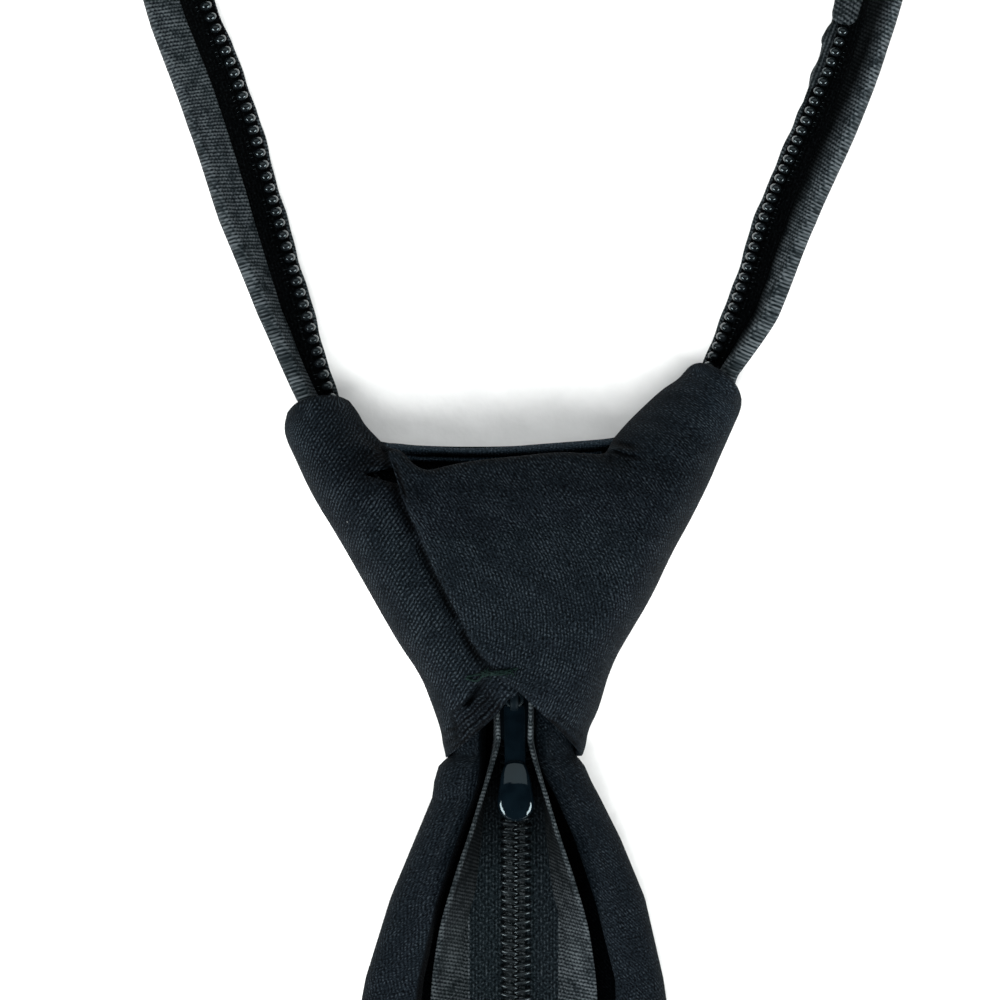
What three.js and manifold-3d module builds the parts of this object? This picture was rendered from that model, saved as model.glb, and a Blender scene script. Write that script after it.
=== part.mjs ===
// A black zipper tie, ready knotted, lying face down with its back up.
// Millimetres, +Z up. The tie lies on z = 0. The origin is under the middle of the knot,
// +Y runs from the blade through the knot to the neck loop, and +X is right, seen from the back.
import * as THREE from "three";
import Module from "manifold-3d";
import { mergeVertices } from "three/addons/utils/BufferGeometryUtils.js";

const wasm = await Module();
wasm.setup();

const CLEARANCE = 0.3; // air between two pieces that touch on the real tie

// The knot: one padded strip of cloth wrapped once round, its right end lapped over its left one.
const KNOT_WIDTH = 62; // over both shoulders
const KNOT_LENGTH = 42.1; // from the lower tips to the front's upper edge
const KNOT_BELOW = 21.2; // from the origin down to the lower tips
const KNOT_DEPTH = 17.6; // front to back, where it is thickest
const KNOT_WALL = 1.8; // the padded cloth
const KNOT_ROLL = 3.4; // how far the rolled sides round in
const LAP_GAP = 0.4; // air between the lapping flap and the wrap below it
const LAP_HIDDEN = 8; // how far the wrap goes on below the flap
const LEFT_SHOULDER_RISE = 6.8; // over the front's upper edge
const RIGHT_SHOULDER_RISE = 11.1;

// The blade: a folded sheet whose two side wings lie on its back.
const BLADE_LENGTH = 449; // from the knot's lower tips to the point
const BLADE_WIDTH = 80; // at its widest, above the point
const BLADE_DEPTH = 7; // over the wings, beside the knot
const BLADE_WALL = 1.2;

// The zipper: two bound tapes that close into one chain below the slider.
const ZIP_HALF = 11.5; // from the chain's middle to the ribbon's outer edge
const RIBBON_LAYER = 1; // one layer of the folded ribbon
const RIBBON_FACE = 5.6; // the bound edge that shows
const TAPE_THICK = 1;
const COIL_WIDTH = 1.9; // of one side
const COIL_HIGH = 1.8;
const OPEN_PITCH = 1.65; // from bead to bead on the open straps
const CLOSED_PITCH = 1.17; // from loop to loop in the closed chain
const TAIL_LENGTH = 92; // of the closed zipper below the slider
const BEND_AIR = 0.15; // inside radius where the ribbon edge folds up

// The slider and its pull.
const SLIDER_TOP = -9.6; // where its wide end lies, seen along the tie
const SLIDER_LENGTH = 9.5;
const SLIDER_CROWN = 6; // width of its wide end
const SLIDER_FOOT = 4.6; // width of its narrow end
const PLATE_THICK = 0.8;
const PULL_PIN = 0.5; // half the width of the pull's cross bar
const PULL_LENGTH = 16.9; // from the cross bar to the drop's end
const PULL_DROP = 4.7; // width of the drop
const PULL_THICK = 1.1;
const PULL_SLOPE = 4; // degrees it lies below level, over the slider's end
const BRIDGE_WIDTH = 1.2;

// The neck loop.
const LOOP_WIDTH = 104.5; // inside, at its widest
const LOOP_REACH = 157; // from the front's upper edge to the far inside edge
const BAND_WIDTH = 9.6; // of the folded neckband and of the bound straps
const BAND_THICK = 2.6;

const KNOT_HALF = KNOT_WIDTH / 2;
const KNOT_TOP = KNOT_LENGTH - KNOT_BELOW;
const TIP_Y = -KNOT_BELOW;

// Half widths of the knot's body as shares of half its width, from the lower tips up.
const knotRows = [
  { along: 0, left: 0.294, right: 0.297, deep: 0.8 },
  { along: 0.085, left: 0.319, right: 0.323, deep: 0.82 },
  { along: 0.18, left: 0.365, right: 0.381, deep: 0.86 },
  { along: 0.264, left: 0.41, right: 0.406, deep: 0.89 },
  { along: 0.356, left: 0.497, right: 0.477, deep: 0.92 },
  { along: 0.442, left: 0.565, right: 0.542, deep: 0.95 },
  { along: 0.54, left: 0.639, right: 0.616, deep: 0.98 },
  { along: 0.7, left: 0.761, right: 0.719, deep: 1 },
  { along: 0.843, left: 0.884, right: 0.819, deep: 0.95 },
  { along: 1, left: 0.984, right: 0.919, deep: 0.82 },
];

// The shoulders over the body: outer and inner edge as shares of half the width, and the
// height as a share of that shoulder's rise.
const leftShoulder = [
  { rise: -0.6, outer: 0.884, inner: 0.42, deep: 0.86 },
  { rise: 0, outer: 0.984, inner: 0.577, deep: 0.78 },
  { rise: 0.37, outer: 1.006, inner: 0.645, deep: 0.68 },
  { rise: 0.68, outer: 0.987, inner: 0.684, deep: 0.6 },
  { rise: 0.88, outer: 0.94, inner: 0.723, deep: 0.55 },
  { rise: 1, outer: 0.9, inner: 0.765, deep: 0.5 },
];
const rightShoulder = [
  { rise: -0.5, outer: 0.845, inner: 0.3, deep: 0.86 },
  { rise: 0.05, outer: 0.925, inner: 0.43, deep: 0.78 },
  { rise: 0.315, outer: 0.985, inner: 0.5, deep: 0.7 },
  { rise: 0.5, outer: 0.997, inner: 0.58, deep: 0.66 },
  { rise: 0.667, outer: 0.975, inner: 0.652, deep: 0.62 },
  { rise: 0.82, outer: 0.94, inner: 0.722, deep: 0.58 },
  { rise: 0.95, outer: 0.89, inner: 0.76, deep: 0.54 },
  { rise: 1, outer: 0.86, inner: 0.785, deep: 0.5 },
];

// The flap's folded edge and the two edges of the notch over the slider, then the flap's upper
// edge: across as a share of half the knot's width, up as a share of its length.
const flapEdge = [
  [-0.6, 1.1],
  [-0.532, 0.974],
  [-0.44, 0.8],
  [-0.3, 0.57],
  [-0.17, 0.38],
  [-0.09, 0.27],
  [-0.02, 0.23],
];
const notchEdge = [
  [-0.29, -0.02],
  [-0.235, 0.03],
  [-0.14, 0.11],
  [-0.03, 0.2],
  [0.022, 0.214],
  [0.075, 0.165],
  [0.14, 0.12],
  [0.22, 0.06],
  [0.293, -0.02],
];
const slotEdge = [
  [-0.548, 0.975],
  [-0.49, 0.95],
  [-0.41, 0.918],
  [-0.36, 0.912],
  [-0.27, 0.93],
  [-0.15, 0.948],
  [0.03, 0.962],
  [0.2, 0.977],
  [0.33, 0.97],
  [0.41, 0.955],
];

// The blade's outline, wings and lie: half widths as shares of half its width, the wings' inner
// edges and the thickness too, down as a share of its length from the knot's lower tips.
const bladeRows = [
  { down: -0.0095, left: 0.172, right: 0.172, wingLeft: 0.13, wingRight: 0.13, deep: 0.88, lift: 1 },
  { down: 0.0012, left: 0.174, right: 0.174, wingLeft: 0.13, wingRight: 0.13, deep: 0.9, lift: 1 },
  { down: 0.003, left: 0.245, right: 0.238, wingLeft: 0.13, wingRight: 0.132, deep: 0.95, lift: 0.97 },
  { down: 0.0075, left: 0.27, right: 0.258, wingLeft: 0.13, wingRight: 0.145, deep: 1, lift: 0.9 },
  { down: 0.0125, left: 0.275, right: 0.292, wingLeft: 0.142, wingRight: 0.165, deep: 1, lift: 0.78 },
  { down: 0.025, left: 0.335, right: 0.357, wingLeft: 0.192, wingRight: 0.218, deep: 0.97, lift: 0.45 },
  { down: 0.043, left: 0.418, right: 0.438, wingLeft: 0.25, wingRight: 0.28, deep: 0.9, lift: 0.15 },
  { down: 0.0675, left: 0.502, right: 0.502, wingLeft: 0.305, wingRight: 0.342, deep: 0.82, lift: 0 },
  { down: 0.1, left: 0.572, right: 0.562, wingLeft: 0.345, wingRight: 0.355, deep: 0.78, lift: 0 },
  { down: 0.16, left: 0.64, right: 0.635, wingLeft: 0.352, wingRight: 0.355, deep: 0.74, lift: 0 },
  { down: 0.21, left: 0.68, right: 0.68, wingLeft: 0.33, wingRight: 0.33, deep: 0.72, lift: 0 },
  { down: 0.26, left: 0.715, right: 0.715, wingLeft: 0.2, wingRight: 0.2, deep: 0.7, lift: 0 },
  { down: 0.3, left: 0.74, right: 0.74, wingLeft: 0.06, wingRight: 0.06, deep: 0.68, lift: 0 },
  { down: 0.33, left: 0.757, right: 0.757, wingLeft: 0.006, wingRight: 0.006, deep: 0.66, lift: 0 },
  { down: 0.6, left: 0.875, right: 0.875, wingLeft: 0.006, wingRight: 0.006, deep: 0.64, lift: 0 },
  { down: 0.8, left: 0.955, right: 0.955, wingLeft: 0.006, wingRight: 0.006, deep: 0.62, lift: 0 },
  { down: 0.905, left: 1, right: 1, wingLeft: 0.006, wingRight: 0.006, deep: 0.6, lift: 0 },
  { down: 0.915, left: 0.975, right: 0.975, wingLeft: 0.006, wingRight: 0.006, deep: 0.6, lift: 0 },
  { down: 0.994, left: 0.09, right: 0.09, wingLeft: 0.006, wingRight: 0.006, deep: 0.52, lift: 0 },
  { down: 1, left: 0.06, right: 0.06, wingLeft: 0.006, wingRight: 0.006, deep: 0.48, lift: 0 },
];

// The closed zipper below the slider: down as a share of its length, flat as a share of its half
// width up to where the edge folds, wide as a share too, and the fold in degrees.
const tailRows = [
  { down: -0.12, flat: 0.29, wide: 0.74, fold: 90, raise: 1 },
  { down: 0, flat: 0.215, wide: 0.79, fold: 95, raise: 1 },
  { down: 0.03, flat: 0.21, wide: 0.85, fold: 92, raise: 0.5 },
  { down: 0.083, flat: 0.205, wide: 0.95, fold: 88, raise: 0.1 },
  { down: 0.151, flat: 0.21, wide: 1, fold: 72, raise: 0 },
  { down: 0.22, flat: 0.225, wide: 1, fold: 54, raise: 0 },
  { down: 0.284, flat: 0.26, wide: 1, fold: 38, raise: 0 },
  { down: 0.347, flat: 0.3, wide: 1, fold: 20, raise: 0 },
  { down: 0.423, flat: 0.36, wide: 1, fold: 4, raise: 0 },
  { down: 1, flat: 0.36, wide: 1, fold: 0, raise: 0 },
];

// The inside edge of the neck loop, from the slider up the left side, round and down the right.
// In the knot its places are shares of the knot, beyond it shares of the loop. high is over the
// surface, flat and wide are shares of the band's width, and fold and tilt are degrees.
const inKnot = (across, up) => [across * KNOT_HALF, TIP_Y + up * KNOT_LENGTH];
const inLoop = (across, up) => [(across * LOOP_WIDTH) / 2, KNOT_TOP + up * LOOP_REACH];
const loopRows = [
  { at: inKnot(-0.034, 0.29), high: 3.7, flat: 0.36, wide: 0.86, fold: 92, tilt: 0, raise: 1 },
  { at: inKnot(-0.14, 0.44), high: 4, flat: 0.36, wide: 0.85, fold: 80, tilt: 0, raise: 0.4 },
  { at: inKnot(-0.47, 0.78), high: 3.6, flat: 0.3, wide: 0.74, fold: 76, tilt: 0, raise: 0 },
  { at: inKnot(-0.7, 1.02), high: 2.6, flat: 0.25, wide: 0.66, fold: 76, tilt: 0, raise: 0 },
  { at: inKnot(-0.776, 1.165), high: 2.4, flat: 0.25, wide: 0.66, fold: 76, tilt: 0, raise: 0 },
  { at: inLoop(-0.53, 0.125), high: 1.6, flat: 0.42, wide: 0.86, fold: 62, tilt: 0, raise: 0 },
  { at: inLoop(-0.605, 0.211), high: 0.6, flat: 0.45, wide: 0.98, fold: 36, tilt: 1, raise: 0 },
  { at: inLoop(-0.679, 0.297), high: 0, flat: 0.45, wide: 1, fold: 24, tilt: 3, raise: 0 },
  { at: inLoop(-0.779, 0.383), high: 0, flat: 0.42, wide: 0.95, fold: 14, tilt: 8, raise: 0 },
  { at: inLoop(-0.83, 0.43), high: 0, flat: 0.42, wide: 0.95, fold: 6, tilt: 12, raise: 0 },
  { at: inLoop(-0.957, 0.58), high: 0, flat: 0.5, wide: 1, fold: 0, tilt: 28, raise: 0 },
  { at: inLoop(-0.985, 0.695), high: 0, flat: 0.5, wide: 1, fold: 0, tilt: 42, raise: 0 },
  { at: inLoop(-0.88, 0.835), high: 0, flat: 0.5, wide: 1, fold: 0, tilt: 54, raise: 0 },
  { at: inLoop(-0.574, 0.95), high: 0, flat: 0.5, wide: 1, fold: 0, tilt: 62, raise: 0 },
  { at: inLoop(0, 1), high: 0, flat: 0.5, wide: 1, fold: 0, tilt: 64, raise: 0 },
  { at: inLoop(0.593, 0.95), high: 0, flat: 0.5, wide: 1, fold: 0, tilt: 62, raise: 0 },
  { at: inLoop(0.909, 0.835), high: 0, flat: 0.5, wide: 1, fold: 0, tilt: 54, raise: 0 },
  { at: inLoop(1.014, 0.695), high: 0, flat: 0.5, wide: 1, fold: 0, tilt: 42, raise: 0 },
  { at: inLoop(0.985, 0.58), high: 0, flat: 0.5, wide: 1, fold: 0, tilt: 28, raise: 0 },
  { at: inLoop(0.885, 0.45), high: 0, flat: 0.45, wide: 0.95, fold: 0, tilt: 14, raise: 0 },
  { at: inLoop(0.823, 0.362), high: 0, flat: 0.42, wide: 0.93, fold: 22, tilt: 4, raise: 0 },
  { at: inLoop(0.754, 0.297), high: 0, flat: 0.4, wide: 0.9, fold: 34, tilt: 1, raise: 0 },
  { at: inLoop(0.643, 0.211), high: 0.5, flat: 0.42, wide: 0.9, fold: 46, tilt: 0, raise: 0 },
  { at: inLoop(0.557, 0.125), high: 1.6, flat: 0.4, wide: 0.84, fold: 60, tilt: 0, raise: 0 },
  { at: inKnot(0.829, 1.268), high: 2.4, flat: 0.26, wide: 0.68, fold: 72, tilt: 0, raise: 0 },
  { at: inKnot(0.72, 1.06), high: 2.6, flat: 0.26, wide: 0.68, fold: 74, tilt: 0, raise: 0 },
  { at: inKnot(0.46, 0.78), high: 3.6, flat: 0.3, wide: 0.74, fold: 76, tilt: 0, raise: 0 },
  { at: inKnot(0.14, 0.44), high: 4, flat: 0.36, wide: 0.85, fold: 80, tilt: 0, raise: 0.4 },
  { at: inKnot(0.034, 0.29), high: 3.7, flat: 0.36, wide: 0.86, fold: 92, tilt: 0, raise: 1 },
];
const LEFT_COIL_ENDS = 9; // the row of loopRows where each coil goes into the neckband
const RIGHT_COIL_ENDS = 20;

// A closed mesh through rings of equal length, each ring a closed polygon in space. flats holds
// the same polygons in their own plane, for the two end faces.
function skin(rings, flats) {
  const count = rings[0].length;
  const corners = rings.flat();
  const faces = [];
  for (let r = 0; r + 1 < rings.length; r++) {
    for (let i = 0; i < count; i++) {
      const j = (i + 1) % count;
      const a = r * count + i;
      const b = r * count + j;
      faces.push([a, b, b + count], [a, b + count, a + count]);
    }
  }
  const last = (rings.length - 1) * count;
  const near = THREE.ShapeUtils.triangulateShape(flats[0], []);
  const far = THREE.ShapeUtils.triangulateShape(flats[flats.length - 1], []);
  const turned = THREE.ShapeUtils.isClockWise(flats[0]);
  near.forEach(([a, b, c]) => faces.push(turned ? [a, b, c] : [a, c, b]));
  far.forEach(([a, b, c]) => faces.push((turned ? [a, c, b] : [a, b, c]).map((i) => i + last)));
  return facingOut(corners, faces);
}

// A geometry from corners and faces, with the faces turned round if they point inwards.
function facingOut(corners, faces) {
  const volume = faces.reduce(
    (sum, [a, b, c]) => sum + corners[a].dot(new THREE.Vector3().crossVectors(corners[b], corners[c])),
    0,
  );
  const index = faces.flatMap(([a, b, c]) => (volume < 0 ? [a, c, b] : [a, b, c]));
  return new THREE.BufferGeometry().setFromPoints(corners).setIndex(index);
}

// Booleans.
function solid(geometry) {
  const bare = new THREE.BufferGeometry();
  bare.setAttribute("position", geometry.getAttribute("position"));
  bare.setIndex(geometry.index);
  const merged = mergeVertices(bare, 1e-4);
  return new wasm.Manifold(
    new wasm.Mesh({
      numProp: 3,
      vertProperties: new Float32Array(merged.attributes.position.array),
      triVerts: new Uint32Array(merged.index.array),
    }),
  );
}

function geometryOf(manifold) {
  const mesh = manifold.getMesh();
  return new THREE.BufferGeometry()
    .setAttribute("position", new THREE.BufferAttribute(new Float32Array(mesh.vertProperties), 3))
    .setIndex(new THREE.BufferAttribute(new Uint32Array(mesh.triVerts), 1));
}

// A straight-sided block over a plan outline of [x, y] points, from one height to another.
function prism(points, low, high) {
  const shape = new THREE.Shape(points.map(([x, y]) => new THREE.Vector2(x, y)));
  const block = new THREE.ExtrudeGeometry(shape, { depth: high - low, bevelEnabled: false });
  return solid(block.translate(0, 0, low));
}

const ease = (f) => f * f * (3 - 2 * f);

// The value of a named column at a place along a table, eased between its rows.
function column(rows, key, place, name) {
  const last = rows.length - 1;
  if (place <= rows[0][key]) return rows[0][name];
  if (place >= rows[last][key]) return rows[last][name];
  const i = rows.findIndex((row, n) => n < last && place <= rows[n + 1][key]);
  const f = (place - rows[i][key]) / (rows[i + 1][key] - rows[i][key]);
  return THREE.MathUtils.lerp(rows[i][name], rows[i + 1][name], f);
}

// One section of a rolled tube across the tie: half-elliptic sides between left and right.
const ROLL_STEPS = 5;
function rolledSection({ y, left, right, low, high, roll }) {
  const middle = (low + high) / 2;
  const tall = (high - low) / 2;
  const deep = Math.min(roll, (right - left) * 0.45);
  const points = [];
  for (let side = 0; side < 2; side++) {
    for (let k = 0; k <= ROLL_STEPS; k++) {
      const turn = Math.PI * (k / ROLL_STEPS + (side ? -0.5 : 0.5));
      const centre = side ? right - deep : left + deep;
      points.push(new THREE.Vector3(centre + deep * Math.cos(turn), y, middle + tall * Math.sin(turn)));
    }
  }
  return points;
}

const acrossTie = (ring) => ring.map((p) => new THREE.Vector2(p.x, p.z));

function rolledTube(sections) {
  const rings = sections.map(rolledSection);
  return solid(skin(rings, rings.map(acrossTie)));
}

// The knot's body and shoulders as full blocks. inset thins them for the hollow, and drop lowers
// the back by the flap's thickness.
function knotBlock(inset, drop) {
  const section = (y, left, right, deep) => {
    const high = (KNOT_DEPTH - drop) * deep - inset;
    return { y, left: left + inset, right: right - inset, low: inset, high, roll: KNOT_ROLL - inset * 0.4 };
  };
  const bodyRows = knotRows.map((row) =>
    section(TIP_Y + row.along * KNOT_LENGTH, -row.left * KNOT_HALF, row.right * KNOT_HALF, row.deep),
  );
  if (inset) bodyRows.unshift({ ...bodyRows[0], y: TIP_Y - 2 * inset });
  const shoulder = (rows, rise, side) => {
    const sections = rows.map((row) => {
      const edges = [side * row.outer * KNOT_HALF, side * row.inner * KNOT_HALF].sort((a, b) => a - b);
      return section(KNOT_TOP + row.rise * rise, edges[0], edges[1], row.deep);
    });
    if (!inset) return rolledTube(sections);
    const mouth = sections.findLast((s) => s.right - s.left > BAND_WIDTH * 0.4);
    const open = sections.slice(0, sections.indexOf(mouth) + 1);
    open.push({ ...mouth, y: KNOT_TOP + rise + inset });
    return rolledTube(open);
  };
  const body = rolledTube(bodyRows);
  const leftTube = shoulder(leftShoulder, LEFT_SHOULDER_RISE, -1);
  const rightTube = shoulder(rightShoulder, RIGHT_SHOULDER_RISE, 1);
  return body.add(leftTube).add(rightTube);
}

const knotPlan = ([across, up]) => inKnot(across, up);

// The knot as one strip: the flap over the right of the back, and the wrap a step lower on the left.
function knot() {
  const drop = KNOT_WALL + LAP_GAP;
  const flapShell = knotBlock(0, 0).subtract(knotBlock(KNOT_WALL, 0));
  const wrapShell = knotBlock(0, drop).subtract(knotBlock(KNOT_WALL, drop));
  const edge = flapEdge.map(knotPlan);
  const foot = [edge.at(-1)[0], TIP_Y - KNOT_LENGTH];
  const above = KNOT_LENGTH * 2;
  const rightOf = (shift) => [
    [edge[0][0] + shift, above],
    ...edge.map(([x, y]) => [x + shift, y]),
    [foot[0] + shift, foot[1]],
    [KNOT_WIDTH, foot[1]],
    [KNOT_WIDTH, above],
  ];
  const flap = flapShell.intersect(prism(rightOf(0), -1, KNOT_DEPTH * 2));
  const wrap = wrapShell.subtract(prism(rightOf(LAP_HIDDEN), -1, KNOT_DEPTH * 2));
  const notch = [...notchEdge.map(knotPlan), [KNOT_HALF * 0.3, foot[1]], [-KNOT_HALF * 0.3, foot[1]]];
  const slot = slotEdge.map(knotPlan);
  slot.push([slot.at(-1)[0], above], [slot[0][0], above]);
  const notchCut = prism(notch, KNOT_WALL + CLEARANCE, KNOT_DEPTH * 2);
  const slotCut = prism(slot, KNOT_WALL, KNOT_DEPTH * 2);
  const opened = flap.add(wrap).subtract(notchCut).subtract(slotCut);
  return geometryOf(opened.subtract(strapTunnel(-1)).subtract(strapTunnel(1)));
}

// The blade's cloth at one row: a C section whose two arms are the wings on the back.
const FOLD_STEPS = 4;
const BLADE_LIFT = KNOT_WALL + CLEARANCE; // inside the knot it lies on the knot's front
function bladeSection(row) {
  const y = TIP_Y - row.down * BLADE_LENGTH;
  const half = BLADE_WIDTH / 2;
  const low = row.lift * BLADE_LIFT;
  const high = low + BLADE_DEPTH * row.deep;
  const tall = (high - low) / 2;
  const at = (x, z) => new THREE.Vector3(x, y, z);
  const fold = (side, edge, wing, shrink) => {
    const deep = Math.min(tall, edge - wing - 0.05);
    return Array.from({ length: FOLD_STEPS + 1 }, (_, k) => {
      const turn = Math.PI * (0.5 - k / FOLD_STEPS);
      const out = edge - deep + (deep - shrink) * Math.cos(turn);
      return at(side * out, low + tall + (tall - shrink) * Math.sin(turn));
    });
  };
  const left = (shrink) => fold(-1, row.left * half, row.wingLeft * half, shrink);
  const right = (shrink) => fold(1, row.right * half, row.wingRight * half, shrink);
  return [
    at(-row.wingLeft * half, high),
    ...left(0),
    ...right(0).reverse(),
    at(row.wingRight * half, high),
    at(row.wingRight * half, high - BLADE_WALL),
    ...right(BLADE_WALL),
    ...left(BLADE_WALL).reverse(),
    at(-row.wingLeft * half, high - BLADE_WALL),
  ];
}

function blade() {
  const rings = bladeRows.map(bladeSection);
  return skin(rings, rings.map(acrossTie));
}

// A bound tape's own section is drawn flat, with a along from the coil's edge and h above the
// ribbon's under side, and then bent up where its edge folds.
const TAPE_LOW = RIBBON_LAYER + CLEARANCE;
const TAPE_HIGH = TAPE_LOW + TAPE_THICK;
const BEND_CENTRE = TAPE_HIGH + BEND_AIR;
function bent([a, h], flat, foldDegrees) {
  const fold = THREE.MathUtils.degToRad(foldDegrees);
  const neutral = BEND_CENTRE - TAPE_LOW;
  const past = a - flat;
  if (past <= 0 || fold < 1e-3) return [a, h];
  const turn = Math.min(fold, past / neutral);
  const on = Math.max(0, past - fold * neutral);
  return [
    flat + (BEND_CENTRE - h) * Math.sin(turn) + on * Math.cos(turn),
    BEND_CENTRE - (BEND_CENTRE - h) * Math.cos(turn) + on * Math.sin(turn),
  ];
}

// Places along the closed zipper and along the loop: a point on the inside edge, the way across,
// the way up, and the section's measures there.
function tailPlace(down, side) {
  const y = SLIDER_TOP - SLIDER_LENGTH - down * TAIL_LENGTH;
  const inBlade = (TIP_Y - y) / BLADE_LENGTH;
  const pick = (name) => column(tailRows, "down", down, name);
  const floor = column(bladeRows, "down", inBlade, "lift") * BLADE_LIFT + BLADE_WALL + CLEARANCE;
  return {
    point: new THREE.Vector3(side * 0.1, y, floor),
    across: new THREE.Vector3(side, 0, 0),
    up: new THREE.Vector3(0, 0, 1),
    flat: pick("flat") * ZIP_HALF,
    wide: pick("wide") * ZIP_HALF,
    fold: pick("fold"),
    raise: pick("raise") * (PLATE_THICK + CLEARANCE),
  };
}

const loopCurve = new THREE.CatmullRomCurve3(
  loopRows.map(({ at, high }) => new THREE.Vector3(at[0], at[1], high)),
);
const numbered = loopRows.map((row, n) => ({ ...row, n }));
function loopPlace(n) {
  const t = n / (loopRows.length - 1);
  const point = loopCurve.getPoint(t);
  point.z = column(numbered, "n", n, "high");
  const along = loopCurve.getTangent(t).setZ(0).normalize();
  const outward = new THREE.Vector3(-along.y, along.x, 0);
  const tilt = THREE.MathUtils.degToRad(column(numbered, "n", n, "tilt"));
  const up = new THREE.Vector3(0, 0, 1);
  const pick = (name) => column(numbered, "n", n, name);
  return {
    point,
    across: outward.clone().multiplyScalar(Math.cos(tilt)).addScaledVector(up, Math.sin(tilt)),
    up: up.clone().multiplyScalar(Math.cos(tilt)).addScaledVector(outward, -Math.sin(tilt)),
    flat: pick("flat") * BAND_WIDTH,
    wide: pick("wide") * BAND_WIDTH,
    fold: pick("fold"),
    raise: pick("raise") * (PLATE_THICK + CLEARANCE),
  };
}

function placed(place, a, h) {
  return place.point.clone().addScaledVector(place.across, a).addScaledVector(place.up, h);
}

// The places of one side of the zipper, from the tail's end through the slider to the neckband.
const TAIL_STOPS = tailRows.map((row) => row.down).filter((down) => down >= 0);
const LOOP_STEP = 0.5; // in rows of the loop's table
function sidePlaces(side) {
  const places = TAIL_STOPS.toReversed().map((down) => tailPlace(down, side));
  places.push(tailPlace(tailRows[0].down * 0.6, side));
  const from = side < 0 ? 0 : loopRows.length - 1;
  const to = side < 0 ? LEFT_COIL_ENDS : RIGHT_COIL_ENDS;
  const steps = Math.round(Math.abs(to - from) / LOOP_STEP);
  for (let k = 0; k <= steps; k++) places.push(loopPlace(from + ((to - from) * k) / steps));
  return places;
}

// A strip swept through places. profile gives the flat section's [a, h] points at one place.
function strip(places, profile) {
  const flats = places.map((place) => profile(place).map(([a, h]) => bent([a, h], place.flat, place.fold)));
  const rings = places.map((place, n) => flats[n].map(([a, h]) => placed(place, a, h)));
  return skin(rings, flats.map((ring) => ring.map(([a, h]) => new THREE.Vector2(a, h))));
}

// Where a section bends, its lines need points of their own.
const BEND_STOPS = [0, 0.35, 0.7, 1];
function bendStops(place, from, to) {
  const reach = (BEND_CENTRE - TAPE_LOW) * (Math.PI / 2);
  return BEND_STOPS.map((share) => THREE.MathUtils.clamp(place.flat + share * reach, from, to));
}

// The points of one line of a section, kept apart so that no two fall together.
function line(place, from, to, h) {
  const stops = [from, ...bendStops(place, from, to), to].sort((a, b) => a - b);
  const apart = 0.02;
  for (let i = 1; i < stops.length; i++) stops[i] = Math.max(stops[i], stops[i - 1] + apart);
  return stops.map((a) => [a, h]);
}

function ribbonProfile(place) {
  const face = place.wide - RIBBON_FACE * (place.wide / ZIP_HALF);
  const edge = place.wide;
  return [
    ...line(place, 0, edge - 0.6, 0),
    [edge, TAPE_HIGH * 0.35],
    [edge, TAPE_HIGH * 0.65],
    ...line(place, face, edge - 0.6, TAPE_HIGH).reverse(),
    ...line(place, 0, face, RIBBON_LAYER).reverse(),
  ];
}

function tapeProfile(place) {
  const from = COIL_WIDTH + CLEARANCE;
  const to = place.wide - RIBBON_FACE * (place.wide / ZIP_HALF) - CLEARANCE;
  const low = TAPE_LOW + place.raise;
  return [...line(place, from, to, low), ...line(place, from, to, low + TAPE_THICK).reverse()];
}

// The room a strap needs where it leaves the knot.
function strapTunnel(side) {
  const last = loopRows.length - 1;
  const rows = [2, 2.5, 3, 3.5, 4, 4.5, 5];
  const high = TAPE_LOW + COIL_HIGH + CLEARANCE;
  const beside = COIL_WIDTH + CLEARANCE;
  const places = rows.map((n) => loopPlace(side < 0 ? n : last - n));
  return solid(strip(places, (place) => {
    const end = place.wide + CLEARANCE;
    return [
      ...line(place, -2 * CLEARANCE, end, -CLEARANCE),
      ...line(place, beside, end, BEND_CENTRE - 0.02).reverse(),
      [beside, high],
      [-2 * CLEARANCE, high],
    ];
  }));
}

// One side's coil: a bar whose inner edge runs in teeth, a tooth to each pitch where it shows.
function coil(side) {
  const places = [];
  const add = (place, tooth) => places.push({ ...place, tooth });
  const tailTeeth = Math.floor(TAIL_LENGTH / CLOSED_PITCH) - 1;
  const lag = side < 0 ? 0 : CLOSED_PITCH;
  for (let k = 2 * tailTeeth; k >= 2; k--) {
    const y = (k * CLOSED_PITCH + lag) / 2;
    add(tailPlace(y / TAIL_LENGTH, side), k % 2);
  }
  add(tailPlace(0, side), 0.5);
  add(tailPlace(tailRows[0].down * 0.6, side), 0.5);
  const last = loopRows.length - 1;
  const row = (n) => (side < 0 ? n : last - n);
  const hidden = 4;
  for (let n = 0; n < hidden; n += 0.5) add(loopPlace(row(n)), n ? 0.2 : 0.5);
  const end = side < 0 ? LEFT_COIL_ENDS : last - RIGHT_COIL_ENDS;
  const length = openLength(row(hidden), row(end));
  const teeth = Math.round(length / OPEN_PITCH);
  for (let k = 0; k <= 2 * teeth; k++) {
    add(loopPlace(row(hidden + ((end - hidden) * k) / (2 * teeth))), k % 2);
  }
  return strip(places, (place) => {
    const inner = place.fold > 90 ? 0 : 0.5 - place.tooth * 0.7;
    const low = TAPE_LOW + place.raise;
    const belly = COIL_HIGH * (0.32 + 0.18 * place.tooth);
    const middle = low + COIL_HIGH / 2;
    return [
      [inner, middle - belly],
      [COIL_WIDTH, middle - belly],
      [COIL_WIDTH, middle + belly],
      [inner, middle + belly],
    ];
  });
}

function openLength(from, to) {
  const steps = 60;
  let length = 0;
  for (let k = 0; k < steps; k++) {
    const a = loopPlace(from + ((to - from) * k) / steps).point;
    length += a.distanceTo(loopPlace(from + ((to - from) * (k + 1)) / steps).point);
  }
  return length;
}

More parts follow.
